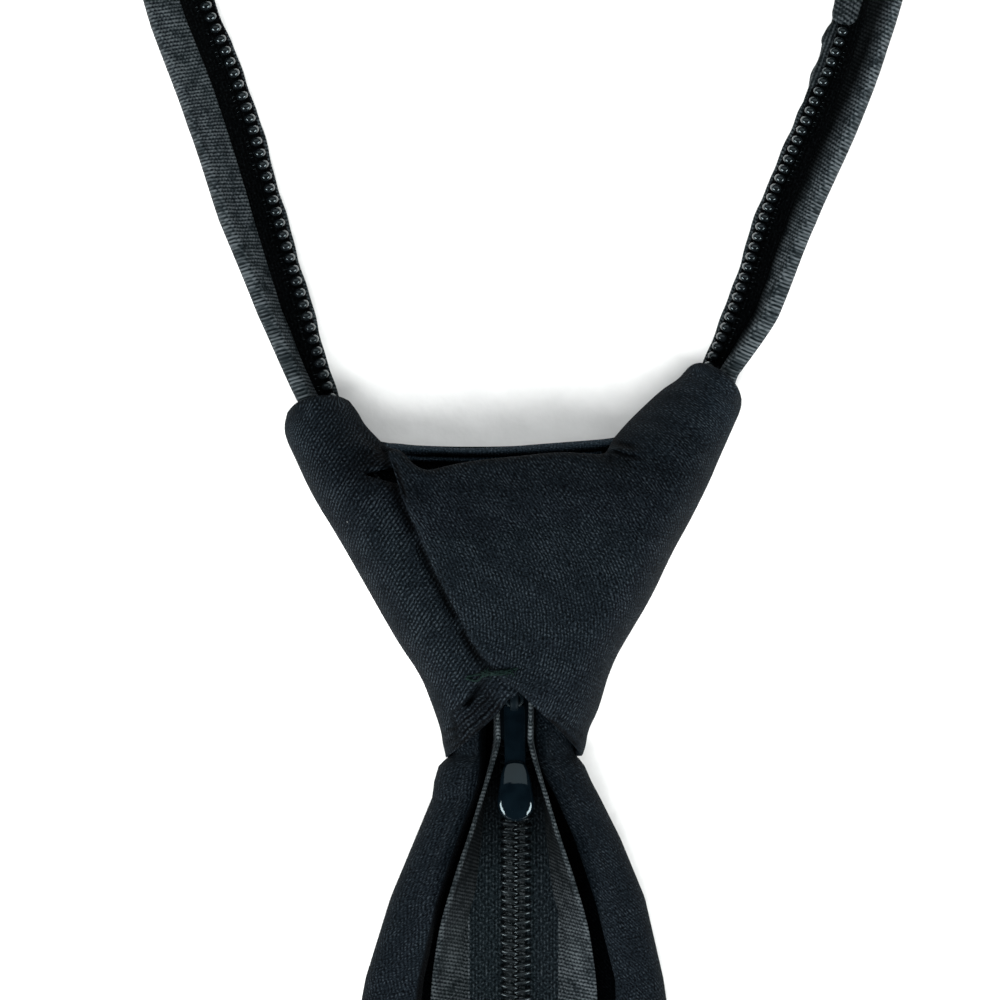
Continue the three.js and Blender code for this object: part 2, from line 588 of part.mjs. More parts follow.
// The neckband between the two coil ends: cloth folded to a band, its edges meeting in a groove.
function neckband() {
  const from = LEFT_COIL_ENDS + 0.06;
  const to = RIGHT_COIL_ENDS - 0.06;
  const steps = Math.round((to - from) / LOOP_STEP);
  const places = Array.from({ length: steps + 1 }, (_, k) => ({
    ...loopPlace(from + ((to - from) * k) / steps),
    open: Math.abs(2 * (k / steps) - 1) ** 4,
  }));
  return strip(places, ({ wide, open }) => {
    const middle = wide * 0.5;
    const gap = 0.3 + 0.6 * open;
    const round = 0.5;
    return [
      [round, 0],
      [wide - round, 0],
      [wide, BAND_THICK / 2],
      [wide - round, BAND_THICK],
      [middle + gap, BAND_THICK],
      [middle + gap, RIBBON_LAYER],
      [middle - gap, RIBBON_LAYER],
      [middle - gap, BAND_THICK],
      [round, BAND_THICK],
      [0, BAND_THICK / 2],
    ];
  });
}

// The slider: two plates over and under the chain, joined by a wedge, with a bridge for the pull.
const SLIDER_FLOOR = BLADE_LIFT + BLADE_WALL + CLEARANCE + RIBBON_LAYER + CLEARANCE;
const CHANNEL = COIL_HIGH + 2 * CLEARANCE;
const SLIDER_FACE = SLIDER_FLOOR + 2 * PLATE_THICK + CHANNEL;
const PIN_HIGH = SLIDER_FACE + PULL_THICK / 2 + 2 * CLEARANCE;
const PIN_Y = SLIDER_TOP - SLIDER_LENGTH * 0.37;
const PIN_AIR = 0.3;

function slider() {
  const end = SLIDER_TOP - SLIDER_LENGTH;
  const crown = SLIDER_CROWN / 2;
  const foot = SLIDER_FOOT / 2;
  const shield = [
    [-foot, end],
    [foot, end],
    [foot + 0.1, end + SLIDER_LENGTH * 0.4],
    [crown, SLIDER_TOP - 1.4],
    [crown * 0.7, SLIDER_TOP],
    [-crown * 0.7, SLIDER_TOP],
    [-crown, SLIDER_TOP - 1.4],
    [-foot - 0.1, end + SLIDER_LENGTH * 0.4],
  ];
  const wedgeHalf = 0.55;
  const wedge = [
    [-wedgeHalf, SLIDER_TOP],
    [0, SLIDER_TOP - SLIDER_LENGTH * 0.32],
    [wedgeHalf, SLIDER_TOP],
  ];
  const under = prism(shield, SLIDER_FLOOR, SLIDER_FLOOR + PLATE_THICK);
  const over = prism(shield, SLIDER_FACE - PLATE_THICK, SLIDER_FACE);
  const post = prism(wedge.toReversed(), SLIDER_FLOOR, SLIDER_FACE);
  return geometryOf(under.add(over).add(post).add(bridge()));
}

// The bridge is a strap over the pull's cross bar, drawn in the tie's side view.
function bridge() {
  const wall = 0.55;
  const reach = PULL_PIN + PIN_AIR;
  const top = PIN_HIGH - SLIDER_FACE + reach + wall;
  const half = reach + wall;
  const shape = new THREE.Shape();
  shape.moveTo(-half - 0.4, -PLATE_THICK / 2);
  shape.lineTo(half + 0.4, -PLATE_THICK / 2);
  shape.lineTo(half, top - half);
  shape.absarc(0, top - half, half, 0, Math.PI, false);
  shape.closePath();
  const options = { depth: BRIDGE_WIDTH, bevelEnabled: false, curveSegments: 6 };
  const strap = new THREE.ExtrudeGeometry(shape, options).translate(0, 0, -BRIDGE_WIDTH / 2);
  const eye = new THREE.CylinderGeometry(reach, reach, BRIDGE_WIDTH * 2, 12).rotateX(Math.PI / 2);
  eye.translate(0, top - half, 0);
  const [block, hole] = [strap, eye].map((shaped) => {
    return solid(shaped.rotateX(Math.PI / 2).rotateZ(Math.PI / 2).translate(0, PIN_Y, SLIDER_FACE));
  });
  return block.subtract(hole);
}

// The pull: a loop hung on the bridge by its cross bar, a neck, and a domed drop.
const pullRows = [
  { down: -0.03, wide: 0.74 },
  { down: 0, wide: 0.82 },
  { down: 0.27, wide: 0.82 },
  { down: 0.33, wide: 0.62 },
  { down: 0.5, wide: 0.61 },
  { down: 0.6, wide: 0.72 },
  { down: 0.72, wide: 0.92 },
  { down: 0.81, wide: 1 },
  { down: 0.9, wide: 0.86 },
  { down: 0.965, wide: 0.56 },
  { down: 1, wide: 0.15 },
];
function pull() {
  const half = PULL_DROP / 2;
  const edge = pullRows.map(({ down, wide }) => new THREE.Vector2(wide * half, -down * PULL_LENGTH));
  const shape = new THREE.Shape([...edge.map(({ x, y }) => new THREE.Vector2(-x, y)).reverse(), ...edge]);
  const windowHalf = BRIDGE_WIDTH / 2 + 1.5 * PIN_AIR;
  const windowEnd = -PULL_LENGTH * 0.25;
  const window = [[-windowHalf, windowEnd], [windowHalf, windowEnd], [windowHalf, -PULL_PIN], [-windowHalf, -PULL_PIN]];
  const bevel = 0.18;
  const plate = new THREE.ExtrudeGeometry(shape, {
    depth: PULL_THICK - 2 * bevel,
    bevelThickness: bevel,
    bevelSize: bevel,
    bevelOffset: -bevel,
    bevelSegments: 1,
  });
  plate.translate(0, 0, bevel - PULL_THICK / 2);
  const dome = new THREE.SphereGeometry(half * 0.86, 12, 8).scale(1, 1.25, 0.42);
  dome.translate(0, -PULL_LENGTH * 0.8, PULL_THICK * 0.3);
  return geometryOf(solid(plate).subtract(prism(window, -PULL_THICK, PULL_THICK)).add(solid(dome)));
}

const black = (name, grey, roughness, metalness = 0) =>
  new THREE.MeshStandardMaterial({ name, color: new THREE.Color(grey, grey, grey * 1.08), roughness, metalness });
const crepe = black("crepe", 0.022, 0.9);
const satin = black("satin", 0.045, 0.55);
const tapeCloth = black("tape", 0.012, 0.95);
const nylon = black("nylon", 0.02, 0.25);
const enamel = black("enamel", 0.015, 0.12);

const tie = new THREE.Group();
tie.name = "zipper_tie";
function piece(name, geometry, material) {
  const mesh = new THREE.Mesh(geometry, material);
  mesh.name = name;
  tie.add(mesh);
  return mesh;
}

piece("knot", knot(), crepe);
piece("blade", blade(), crepe);
for (const [word, side] of [["left", -1], ["right", 1]]) {
  piece("ribbon_" + word, strip(sidePlaces(side), ribbonProfile), satin);
  piece("tape_" + word, strip(sidePlaces(side), tapeProfile), tapeCloth);
  piece("coil_" + word, coil(side), nylon);
}
piece("neckband", neckband(), satin);
piece("slider", slider(), enamel);
const pullTab = piece("pull_tab", pull(), enamel);
pullTab.position.set(0, PIN_Y, PIN_HIGH);
pullTab.rotation.x = THREE.MathUtils.degToRad(PULL_SLOPE);

export default tie;
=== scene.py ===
import math

import bpy
import numpy as np
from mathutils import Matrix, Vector
from mathutils.geometry import delaunay_2d_cdt


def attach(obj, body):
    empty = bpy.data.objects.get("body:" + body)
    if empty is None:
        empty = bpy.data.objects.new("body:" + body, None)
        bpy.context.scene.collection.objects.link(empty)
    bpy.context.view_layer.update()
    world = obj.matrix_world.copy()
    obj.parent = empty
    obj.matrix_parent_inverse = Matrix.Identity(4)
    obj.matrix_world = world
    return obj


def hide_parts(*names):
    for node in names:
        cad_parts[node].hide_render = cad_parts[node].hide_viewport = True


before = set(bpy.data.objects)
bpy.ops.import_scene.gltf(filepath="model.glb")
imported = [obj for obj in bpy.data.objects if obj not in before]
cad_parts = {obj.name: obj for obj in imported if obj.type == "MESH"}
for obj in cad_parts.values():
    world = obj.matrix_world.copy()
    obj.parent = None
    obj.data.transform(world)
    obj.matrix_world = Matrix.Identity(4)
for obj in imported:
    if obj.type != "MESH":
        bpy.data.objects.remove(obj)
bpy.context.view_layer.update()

# Lengths are in millimetres in the part's frame, and become metres in make_piece.
MM = 0.001
# A piece's flat cloth coordinates are kept as this share of a millimetre.
WEAVE_UNIT = 0.01

# Sizes that the part has too.
KNOT_HALF = 31
KNOT_LENGTH = 42.1
TIP_Y = -21.2
KNOT_TOP = 20.9
KNOT_DEPTH = 17.6
FLAP_STEP = 2.2
BLADE_LENGTH = 449
BLADE_HALF = 40
BLADE_DEPTH = 7
BLADE_WALL = 1.2
BLADE_LIFT = 2.1
ZIP_HALF = 11.5
TAPE_LOW = 1.3
TAPE_HIGH = 2.3
BEND_CENTRE = 2.45
RIBBON_FACE = 5.6
TAIL_START = -19.1
TAIL_LENGTH = 92
OPEN_PITCH = {-1: 1.65, 1: 1.44}
CLOSED_PITCH = 1.17
COIL_WIDTH = 1.9
COIL_HIGH = 1.8
SLIDER_TOP = -9.6
SLIDER_END = -19.1
SLIDER_FLOOR = 4.9
SLIDER_FACE = 8.9
PIN_Y = -13.115
PIN_HIGH = 10.05
PLATE_ROOM = 1.1
LOOP_HALF = 52.25
LOOP_REACH = 157
BAND_WIDTH = 9.6
BAND_THICK = 2.6
LEFT_COIL_ENDS = 9
RIGHT_COIL_ENDS = 20
# How many rows of the loop the ribbons and tapes reach on under the neckband, and their step.
UNDER_BAND = 1.5
STRIP_STEP = 0.7

# Sizes of the cloth's edges and thickness.
SIDE_ROLL = 5.2
HEM_ROLL = 1.1
CLOTH = 0.9
FINE = 0.4
# The height of the knot's slow unevenness, and the upper end of random turns.
SWELL = 0.35
ROUND_ABOUT = 6.28

# The camera and the photograph's frame.
VIEW_WIDTH = 135
VIEW_CENTRE = (-1.9, 13.5)
VIEW_LEVEL = 8
CAMERA_HIGH = 750
SENSOR = 36

# The cool tint of what gloss reflects: a colour painted on the reflections, standing in for cool lamp light.
COOL = (0.74, 0.94, 1.0, 1)


# Small geometry helpers
def run_along(line):
    """How far along a line each of its points lies, in plan."""
    return np.concatenate([[0], np.cumsum(np.hypot(*np.diff(line, axis=0).T[:2]))])


def all_round(count):
    """Even turns round a full circle."""
    return np.linspace(0, 2 * math.pi, count, endpoint=False)


def span(low, high, steps):
    return np.linspace(low, high, steps).tolist()


def row_at(columns, table, places, at):
    """A table's row by its columns' names, between the rows that lie at the given places."""
    return {name: np.interp(at, places, column) for name, column in zip(columns, table.T)}


def resampled(line, step, closed=False):
    """The line's points again at even steps along it."""
    line = np.asarray(line, float)
    if closed:
        line = np.vstack([line, line[:1]])
    at = run_along(line)
    count = max(2, int(round(at[-1] / step)) + 1)
    places = np.linspace(0, at[-1], count)
    out = np.column_stack([np.interp(places, at, line[:, k]) for k in range(line.shape[1])])
    return out[:-1] if closed else out


def rounded(line, closed=False, times=2):
    """Corner cutting: each pass replaces a corner by two points, and keeps the ends of an open line."""
    line = np.asarray(line, float)
    for _ in range(times):
        after = np.roll(line, -1, axis=0) if closed else line[1:]
        before = line if closed else line[:-1]
        near = before * 0.75 + after * 0.25
        far = before * 0.25 + after * 0.75
        cut = np.empty((2 * len(before), line.shape[1]))
        cut[0::2] = near
        cut[1::2] = far
        line = cut if closed else np.vstack([line[:1], cut, line[-1:]])
    return line


def nearest(points, line, closed=False):
    """Distance from each point to a line, the nearest place on it, and how far along it that is."""
    line = np.asarray(line, float)
    start = line
    end = np.roll(line, -1, axis=0)
    if not closed:
        start, end = line[:-1], line[1:]
    step = end - start
    size = np.maximum((step ** 2).sum(1), 1e-12)
    run = np.concatenate([[0], np.cumsum(np.sqrt(size))])[:-1]
    best = np.full(len(points), np.inf)
    foot = np.zeros((len(points), 2))
    along = np.zeros(len(points))
    for a, s, q, r in zip(start, step, size, run):
        t = np.clip(((points - a) @ s) / q, 0, 1)
        place = a + t[:, None] * s
        gap = np.hypot(*(points - place).T)
        closer = gap < best
        best[closer] = gap[closer]
        foot[closer] = place[closer]
        along[closer] = r + t[closer] * math.sqrt(q)
    return best, foot, along


def inside(points, ring):
    """Which points lie in a plan ring."""
    x, y = points.T
    result = np.zeros(len(points), bool)
    for (x1, y1), (x2, y2) in zip(ring, np.roll(ring, -1, axis=0)):
        crosses = (y1 > y) != (y2 > y)
        if y1 != y2:
            result ^= crosses & (x < (x2 - x1) * (y - y1) / (y2 - y1) + x1)
    return result


def roll(depth, radius):
    """How far a rolled edge has risen at a depth behind its outline, from 0 to 1."""
    share = np.clip(depth / radius, 0, 1)
    return np.sqrt(np.clip(1 - (1 - share) ** 2, 0, 1))


def roll_depths(radius, steps):
    """Depths behind an outline that are even round a roll of that radius."""
    return [radius * (1 - math.cos(math.pi / 2 * k / steps)) for k in range(1, steps + 1)]


def unrolled(depth, radius, high):
    """How much longer the cloth is than its plan, from the edge's plateau out to a depth."""
    turn = np.linspace(0, math.pi / 2, 60)
    step = np.hypot(radius * np.sin(turn), high * np.cos(turn))
    arc = np.concatenate([[0], np.cumsum((step[1:] + step[:-1]) / 2 * np.diff(turn))])
    plan = radius * (1 - np.cos(turn))
    extra = (arc[-1] - arc) - (radius - plan)
    return np.interp(depth, plan, extra)


def plan_mesh(ring, spacing, depths):
    """Triangles over a plan outline, with rows of points that follow the outline at the given depths."""
    edge = resampled(ring, spacing, closed=True)
    ahead = np.roll(edge, -1, axis=0) - np.roll(edge, 1, axis=0)
    inward = np.column_stack([-ahead[:, 1], ahead[:, 0]])
    inward /= np.maximum(np.hypot(*inward.T), 1e-9)[:, None]
    if not inside(edge + inward * 0.01, edge).mean() > 0.5:
        inward = -inward
    sets = [edge]
    for depth in depths:
        row = edge + inward * depth
        gap, _, _ = nearest(row, edge, closed=True)
        sets.append(row[(gap > depth * 0.96) & inside(row, edge)])
    low, high = edge.min(0), edge.max(0)
    xs = np.arange(low[0], high[0], spacing)
    ys = np.arange(low[1], high[1], spacing)
    grid = np.array([(x + (k % 2) * spacing / 2, y) for k, y in enumerate(ys) for x in xs])
    gap, _, _ = nearest(grid, edge, closed=True)
    sets.append(grid[(gap > depths[-1] + spacing * 0.5) & inside(grid, edge)])
    flat = np.vstack(sets)
    loop = [(k, (k + 1) % len(edge)) for k in range(len(edge))]
    verts, _, faces, _, _, _ = delaunay_2d_cdt([Vector(p) for p in flat], loop, [], 1, 1e-5)
    return np.array([tuple(v) for v in verts]), [list(f) for f in faces]


def rim_of(faces):
    """The directed boundary edges of a set of faces."""
    uses = {}
    for face in faces:
        for a, b in zip(face, face[1:] + face[:1]):
            uses[(a, b)] = uses.get((a, b), 0) + 1
    return [(a, b) for a, b in uses if (b, a) not in uses]


def normals_of(points, faces):
    normals = np.zeros_like(points)
    for face in faces:
        a, b, c = (points[i] for i in face[:3])
        n = np.cross(b - a, c - a)
        for i in face:
            normals[i] += n
    return normals / np.maximum(np.linalg.norm(normals, axis=1), 1e-12)[:, None]


def thickened(points, faces, uv, thick):
    """A skin and its other side, thick away from it against its normals."""
    count = len(points)
    both = np.vstack([points, points - normals_of(points, faces) * thick])
    under = [[i + count for i in reversed(f)] for f in faces]
    rim = [[b, a, a + count, b + count] for a, b in rim_of(faces)]
    return both, [list(f) for f in faces] + under + rim, np.vstack([uv, uv])


def swept(rings):
    """Faces of a closed skin through rings of equal length, with a cap at each end."""
    rows, count = len(rings), len(rings[0])
    faces = []
    for r in range(rows - 1):
        for i in range(count):
            j = (i + 1) % count
            faces.append([r * count + i, r * count + j, (r + 1) * count + j, (r + 1) * count + i])
    faces.append(list(range(count))[::-1])
    faces.append([(rows - 1) * count + i for i in range(count)])
    return faces


def tube(path, radius, sides, flat=1.0):
    """A cord through path, flat times as high as wide. Its radius is one number or one a point."""
    path = np.asarray(path, float)
    radius = np.broadcast_to(radius, len(path))
    ahead = np.gradient(path, axis=0)
    ahead /= np.maximum(np.linalg.norm(ahead, axis=1), 1e-9)[:, None]
    side = np.cross(ahead[0], (0, 0, 1))
    if np.linalg.norm(side) < 1e-3:
        side = np.array((1.0, 0, 0))
    rings = []
    for place, way, size in zip(path, ahead, radius):
        side = side - way * (side @ way)
        side /= np.linalg.norm(side)
        up = np.cross(side, way)
        turns = all_round(sides)
        rings.append(place + size * (np.outer(np.cos(turns), side) + flat * np.outer(np.sin(turns), up)))
    return np.vstack(rings), swept(rings)


def tones(parts, values):
    """One tone for all the points of each part."""
    return np.concatenate([np.full(len(points), value) for (points, _), value in zip(parts, values)])


def joined(parts):
    """Several (points, faces) as one, each turned outward."""
    points, faces, base = [], [], 0
    for p, f in parts:
        points.append(p)
        faces += [[i + base for i in face] for face in outward(p, f)]
        base += len(p)
    return np.vstack(points), faces


def outward(points, faces):
    """The faces turned round if the closed mesh would be inside out."""
    volume = 0
    for face in faces:
        a = points[face[0]]
        for i, j in zip(face[1:-1], face[2:]):
            volume += a @ np.cross(points[i], points[j])
    return [f[::-1] for f in faces] if volume < 0 else faces


def skin(rings):
    """A closed skin through rings, turned outward."""
    points = np.vstack(rings)
    return points, outward(points, swept(rings))


def make_piece(name, points, faces, uv, material, body="tie", tone=1.0):
    """A piece of the scene from millimetres. Its tone is one number or one a point: painted shade and painted
    light where its material multiplies a colour by it, roughness in nylon and enamel.
    """
    mesh = bpy.data.meshes.new(name)
    mesh.from_pydata((np.asarray(points) * MM).tolist(), [], faces)
    mesh.update()
    mesh.polygons.foreach_set("use_smooth", np.ones(len(mesh.polygons), bool))
    layer = mesh.uv_layers.new(name="weave")
    corners = np.zeros(len(mesh.loops), int)
    mesh.loops.foreach_get("vertex_index", corners)
    layer.data.foreach_set("uv", (np.asarray(uv)[corners] * WEAVE_UNIT).ravel())
    shade = mesh.attributes.new("tone", "FLOAT", "POINT")
    shade.data.foreach_set("value", np.broadcast_to(tone, len(points)).astype(float))
    mesh.materials.append(material)
    piece = bpy.data.objects.new(name, mesh)
    bpy.context.scene.collection.objects.link(piece)
    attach(piece, body)
    return piece


# Materials
# The scale of the unevenness of threads, and the spacing and size of specks of lint, in a millimetre.
WARP_SCALE = 0.6
LINT_SCALE = 0.35
LINT_SIZE = 0.035


class Maker:
    """A material's node tree, with short calls for its nodes."""

    def __init__(self, name):
        self.material = bpy.data.materials.new(name)
        self.material.use_nodes = True
        self.tree = self.material.node_tree
        self.shader = self.tree.nodes["Principled BSDF"]

    def node(self, kind, **values):
        made = self.tree.nodes.new(kind)
        for key, value in values.items():
            setattr(made, key, value)
        return made

    def wire(self, value, socket):
        if isinstance(value, bpy.types.NodeSocket):
            self.tree.links.new(value, socket)
        else:
            socket.default_value = value

    def colour(self, value):
        return value if isinstance(value, bpy.types.NodeSocket) else (*value, 1)

    def scaled(self, value, times, plus=0.0):
        """value * times + plus"""
        return self.math("MULTIPLY_ADD", value, times, plus)

    def math(self, kind, a, b=0.0, c=None):
        made = self.node("ShaderNodeMath", operation=kind)
        self.wire(a, made.inputs[0])
        self.wire(b, made.inputs[1])
        if c is not None:
            self.wire(c, made.inputs[2])
        return made.outputs[0]

    def wave(self, place):
        """0 to 1 and back once in each unit of place."""
        turned = self.math("MULTIPLY", place, 2 * math.pi)
        return self.scaled(self.math("SINE", turned), 0.5, 0.5)

    def weave_place(self, warp):
        """The cloth's own coordinates in millimetres, a little uneven as threads are."""
        place = self.node("ShaderNodeUVMap", uv_map="weave").outputs[0]
        size = self.node("ShaderNodeVectorMath", operation="SCALE")
        self.wire(place, size.inputs[0])
        size.inputs["Scale"].default_value = 1 / WEAVE_UNIT
        noise = self.node("ShaderNodeTexNoise", noise_dimensions="2D")
        self.wire(size.outputs[0], noise.inputs["Vector"])
        noise.inputs["Scale"].default_value = WARP_SCALE
        noise.inputs["Detail"].default_value = 3
        shift = self.node("ShaderNodeVectorMath", operation="MULTIPLY_ADD")
        self.wire(noise.outputs["Color"], shift.inputs[0])
        shift.inputs[1].default_value = (warp * 2, warp * 2, 0)
        self.wire(size.outputs[0], shift.inputs[2])
        return shift.outputs[0]

    def split(self, vector):
        """The x and y of a vector."""
        made = self.node("ShaderNodeSeparateXYZ")
        self.wire(vector, made.inputs[0])
        return made.outputs[0], made.outputs[1]

    def turned(self, x, y, degrees):
        """How far along and across a direction a place lies."""
        c, s = math.cos(math.radians(degrees)), math.sin(math.radians(degrees))
        along = self.scaled(x, c, self.math("MULTIPLY", y, s))
        across = self.scaled(x, -s, self.math("MULTIPLY", y, c))
        return along, across

    def ribs(self, x, y, degrees, pitch, dash, step):
        """Ridges a pitch apart, each broken into dashes that are offset by step from ridge to ridge."""
        along, across = self.turned(x, y, degrees)
        row = self.math("DIVIDE", across, pitch)
        ridge = self.wave(row)
        number = self.math("FLOOR", row)
        place = self.scaled(number, step, self.math("DIVIDE", along, dash))
        return ridge, self.wave(place)

    def noise(self, vector, scale, detail):
        made = self.node("ShaderNodeTexNoise", noise_dimensions="3D")
        self.wire(vector, made.inputs["Vector"])
        made.inputs["Scale"].default_value = scale
        made.inputs["Detail"].default_value = detail
        return made.outputs["Fac"]

    def ramp(self, value, stops, light=1.0):
        """A colour between stops, each a place and a colour, all times light."""
        made = self.node("ShaderNodeValToRGB")
        self.wire(value, made.inputs[0])
        elements = made.color_ramp.elements
        while len(elements) < len(stops):
            elements.new(0.5)
        for element, (place, colour) in zip(elements, stops):
            element.position = place
            element.color = (*(light * share for share in colour), 1)
        return made.outputs["Color"]

    def mix(self, share, a, b):
        made = self.node("ShaderNodeMix", data_type="RGBA")
        self.wire(share, made.inputs["Factor"])
        self.wire(self.colour(a), made.inputs[6])
        self.wire(self.colour(b), made.inputs[7])
        return made.outputs[2]

    def tone(self):
        """The piece's tone at each point: painted shade and painted light where it multiplies a colour,
        roughness where a material reads it so.
        """
        return self.node("ShaderNodeAttribute", attribute_name="tone").outputs["Fac"]

    def toned(self, colour):
        """A colour times the piece's tone, which paints shade and light onto it."""
        made = self.node("ShaderNodeVectorMath", operation="SCALE")
        self.wire(colour, made.inputs[0])
        self.wire(self.tone(), made.inputs["Scale"])
        return made.outputs[0]

    def object_place(self):
        """Where a point is on its object, in metres."""
        return self.node("ShaderNodeTexCoord").outputs["Object"]

    def lint(self, vector, colour, base, amount):
        """Sparse pale specks of dust over a colour."""
        cells = self.node("ShaderNodeTexVoronoi")
        self.wire(vector, cells.inputs["Vector"])
        cells.inputs["Scale"].default_value = LINT_SCALE
        near = self.math("LESS_THAN", cells.outputs["Distance"], LINT_SIZE)
        apart = self.node("ShaderNodeSeparateXYZ")
        self.wire(cells.outputs["Color"], apart.inputs[0])
        few = self.math("LESS_THAN", apart.outputs[0], amount)
        return self.mix(self.math("MULTIPLY", near, few), base, colour)

    def finish(self, colour, height, relief, rough, **sockets):
        """The material, with height as a bump that stands relief millimetres high."""
        self.wire(self.colour(colour), self.shader.inputs["Base Color"])
        self.wire(rough, self.shader.inputs["Roughness"])
        for name, value in sockets.items():
            self.shader.inputs[name.replace("_", " ")].default_value = value
        bump = self.node("ShaderNodeBump")
        bump.inputs["Strength"].default_value = 1
        bump.inputs["Distance"].default_value = relief * MM
        self.wire(height, bump.inputs["Height"])
        self.wire(bump.outputs[0], self.shader.inputs["Normal"])
        return self.material


# Colours from the valleys of a weave or finish to its crests: the place on the ramp, then the colour.
CREPE = [
    (0.0, (0.0002, 0.0007, 0.0012)),
    (0.3, (0.0018, 0.0036, 0.0054)),
    (0.65, (0.0072, 0.0112, 0.0150)),
    (1.0, (0.0260, 0.0350, 0.0420)),
]
SATIN = [(0.0, (0.0016, 0.0028, 0.0034)), (0.4, (0.0110, 0.0148, 0.0168)), (1.0, (0.0560, 0.0660, 0.0710))]
KNIT = [(0.0, (0.0004, 0.0010, 0.0014)), (0.5, (0.0036, 0.0060, 0.0074)), (1.0, (0.0220, 0.0285, 0.0320))]
NYLON = [(0.3, (0.0015, 0.0022, 0.0026)), (0.8, (0.004, 0.005, 0.006))]
ENAMEL = [(0.3, (0.0006, 0.0015, 0.0024)), (0.8, (0.0015, 0.0036, 0.0054))]
THREAD = [(0.35, (0.0008, 0.0034, 0.0030)), (0.75, (0.0058, 0.0140, 0.0122))]
BOARD = [(0.3, (0.84, 0.85, 0.84)), (0.7, (0.90, 0.91, 0.90))]
CREPE_LINT = (0.09, 0.10, 0.10)
SATIN_LINT = (0.14, 0.16, 0.16)
LINT_SHARE = 0.08


def crepe(name, degrees=0, pitch=0.42, dash=0.5, rib=0.6, light=1.0):
    """Fine black twill: broken diagonal ridges, blue-black in their valleys, with a little lint."""
    m = Maker(name)
    place = m.weave_place(warp=0.3)
    x, y = m.split(place)
    ridge, dashes = m.ribs(x, y, degrees, pitch, dash, step=0.37)
    _, cross = m.ribs(x, y, degrees, pitch * 0.5, dash * 1.3, step=0.61)
    broken = m.scaled(cross, times=0.5, plus=m.math("MULTIPLY", dashes, 0.5))
    thread = m.math("MULTIPLY", ridge, m.scaled(broken, times=1.2, plus=0.3))
    wear = m.noise(place, scale=0.3, detail=2)
    thread = m.math("MULTIPLY", thread, m.math("MULTIPLY", wear, rib))
    grain = m.scaled(m.noise(place, scale=6.0, detail=2), times=0.6, plus=m.noise(place, scale=3.1, detail=3))
    height = m.math("ADD", grain, thread)
    tone = m.scaled(height, times=1.75, plus=-0.98 - 0.38 * rib)
    colour = m.lint(place, CREPE_LINT, m.toned(m.ramp(tone, CREPE, light)), LINT_SHARE)
    rough = m.scaled(grain, times=-0.1, plus=0.95)
    return m.finish(colour, height, relief=0.14, rough=rough, Specular_IOR_Level=0.05)


def satin(name, degrees, pitch=0.5, light=1.0):
    """Black ribbon: fine uneven ribs across it, with a soft gloss on the threads."""
    m = Maker(name)
    place = m.weave_place(warp=0.1)
    x, y = m.split(place)
    ridge, dashes = m.ribs(x, y, degrees, pitch, dash=0.5, step=0.5)
    wear = m.scaled(m.noise(place, scale=0.5, detail=2), times=1.4, plus=-0.1)
    cross = 0.35
    thread = m.scaled(dashes, times=cross, plus=m.math("MULTIPLY", ridge, 1 - cross))
    thread = m.math("MULTIPLY", thread, wear)
    fuzz = m.scaled(m.noise(place, scale=5.0, detail=2), times=0.8, plus=m.noise(place, scale=2.4, detail=3))
    height = m.scaled(fuzz, times=0.8, plus=thread)
    tone = m.scaled(height, times=1.6, plus=-1.18)
    colour = m.lint(place, SATIN_LINT, m.toned(m.ramp(tone, SATIN, light)), LINT_SHARE)
    rough = m.scaled(fuzz, times=-0.1, plus=0.65)
    return m.finish(colour, height, relief=0.07, rough=rough, Specular_IOR_Level=0.05, Specular_Tint=COOL)


def knit(name):
    """The zipper's tape: columns of dark dashes along it."""
    m = Maker(name)
    place = m.weave_place(warp=0.1)
    x, y = m.split(place)
    columns, dashes = m.ribs(x, y, degrees=0, pitch=0.45, dash=0.6, step=0.5)
    fuzz = m.noise(place, scale=2.8, detail=4)
    thread = m.math("MULTIPLY", columns, m.scaled(dashes, times=0.5, plus=0.5))
    height = m.scaled(fuzz, times=2.6, plus=m.math("MULTIPLY", thread, 0.35))
    colour = m.toned(m.ramp(m.scaled(height, times=0.9, plus=-0.92), KNIT))
    return m.finish(colour, height, relief=0.1, rough=0.9, Specular_IOR_Level=0.04)


def nylon():
    """Glossy black coil. Its tone is how rough it is: the turns of the closed coil are duller."""
    m = Maker("coil_nylon")
    streak = m.noise(m.object_place(), scale=900.0, detail=2)
    rough = m.scaled(streak, times=0.10, plus=m.tone())
    colour = m.ramp(streak, NYLON)
    return m.finish(colour, streak, relief=0.01, rough=rough, Specular_IOR_Level=0.5, Specular_Tint=COOL)


def enamel(name, gloss):
    """Painted metal with the faint unevenness of dipped paint. Its tone is how rough it is."""
    m = Maker(name)
    swell = m.noise(m.object_place(), scale=480.0, detail=5)
    rough = m.scaled(swell, times=0.08, plus=m.tone())
    colour = m.ramp(swell, ENAMEL)
    return m.finish(colour, swell, relief=0.035, rough=rough, Specular_IOR_Level=gloss, Specular_Tint=COOL)


def green_thread():
    """Dull dark green sewing thread."""
    m = Maker("tack_green")
    fuzz = m.noise(m.object_place(), scale=2600.0, detail=3)
    return m.finish(m.ramp(fuzz, THREAD), fuzz, relief=0.06, rough=0.8, Specular_IOR_Level=0.06)


def paper():
    """The pale floor, with the faint grain of matt board."""
    m = Maker("floor_board")
    grain = m.noise(m.object_place(), scale=240.0, detail=4)
    return m.finish(m.ramp(grain, BOARD), grain, relief=0.25, rough=0.9, Specular_IOR_Level=0.2)


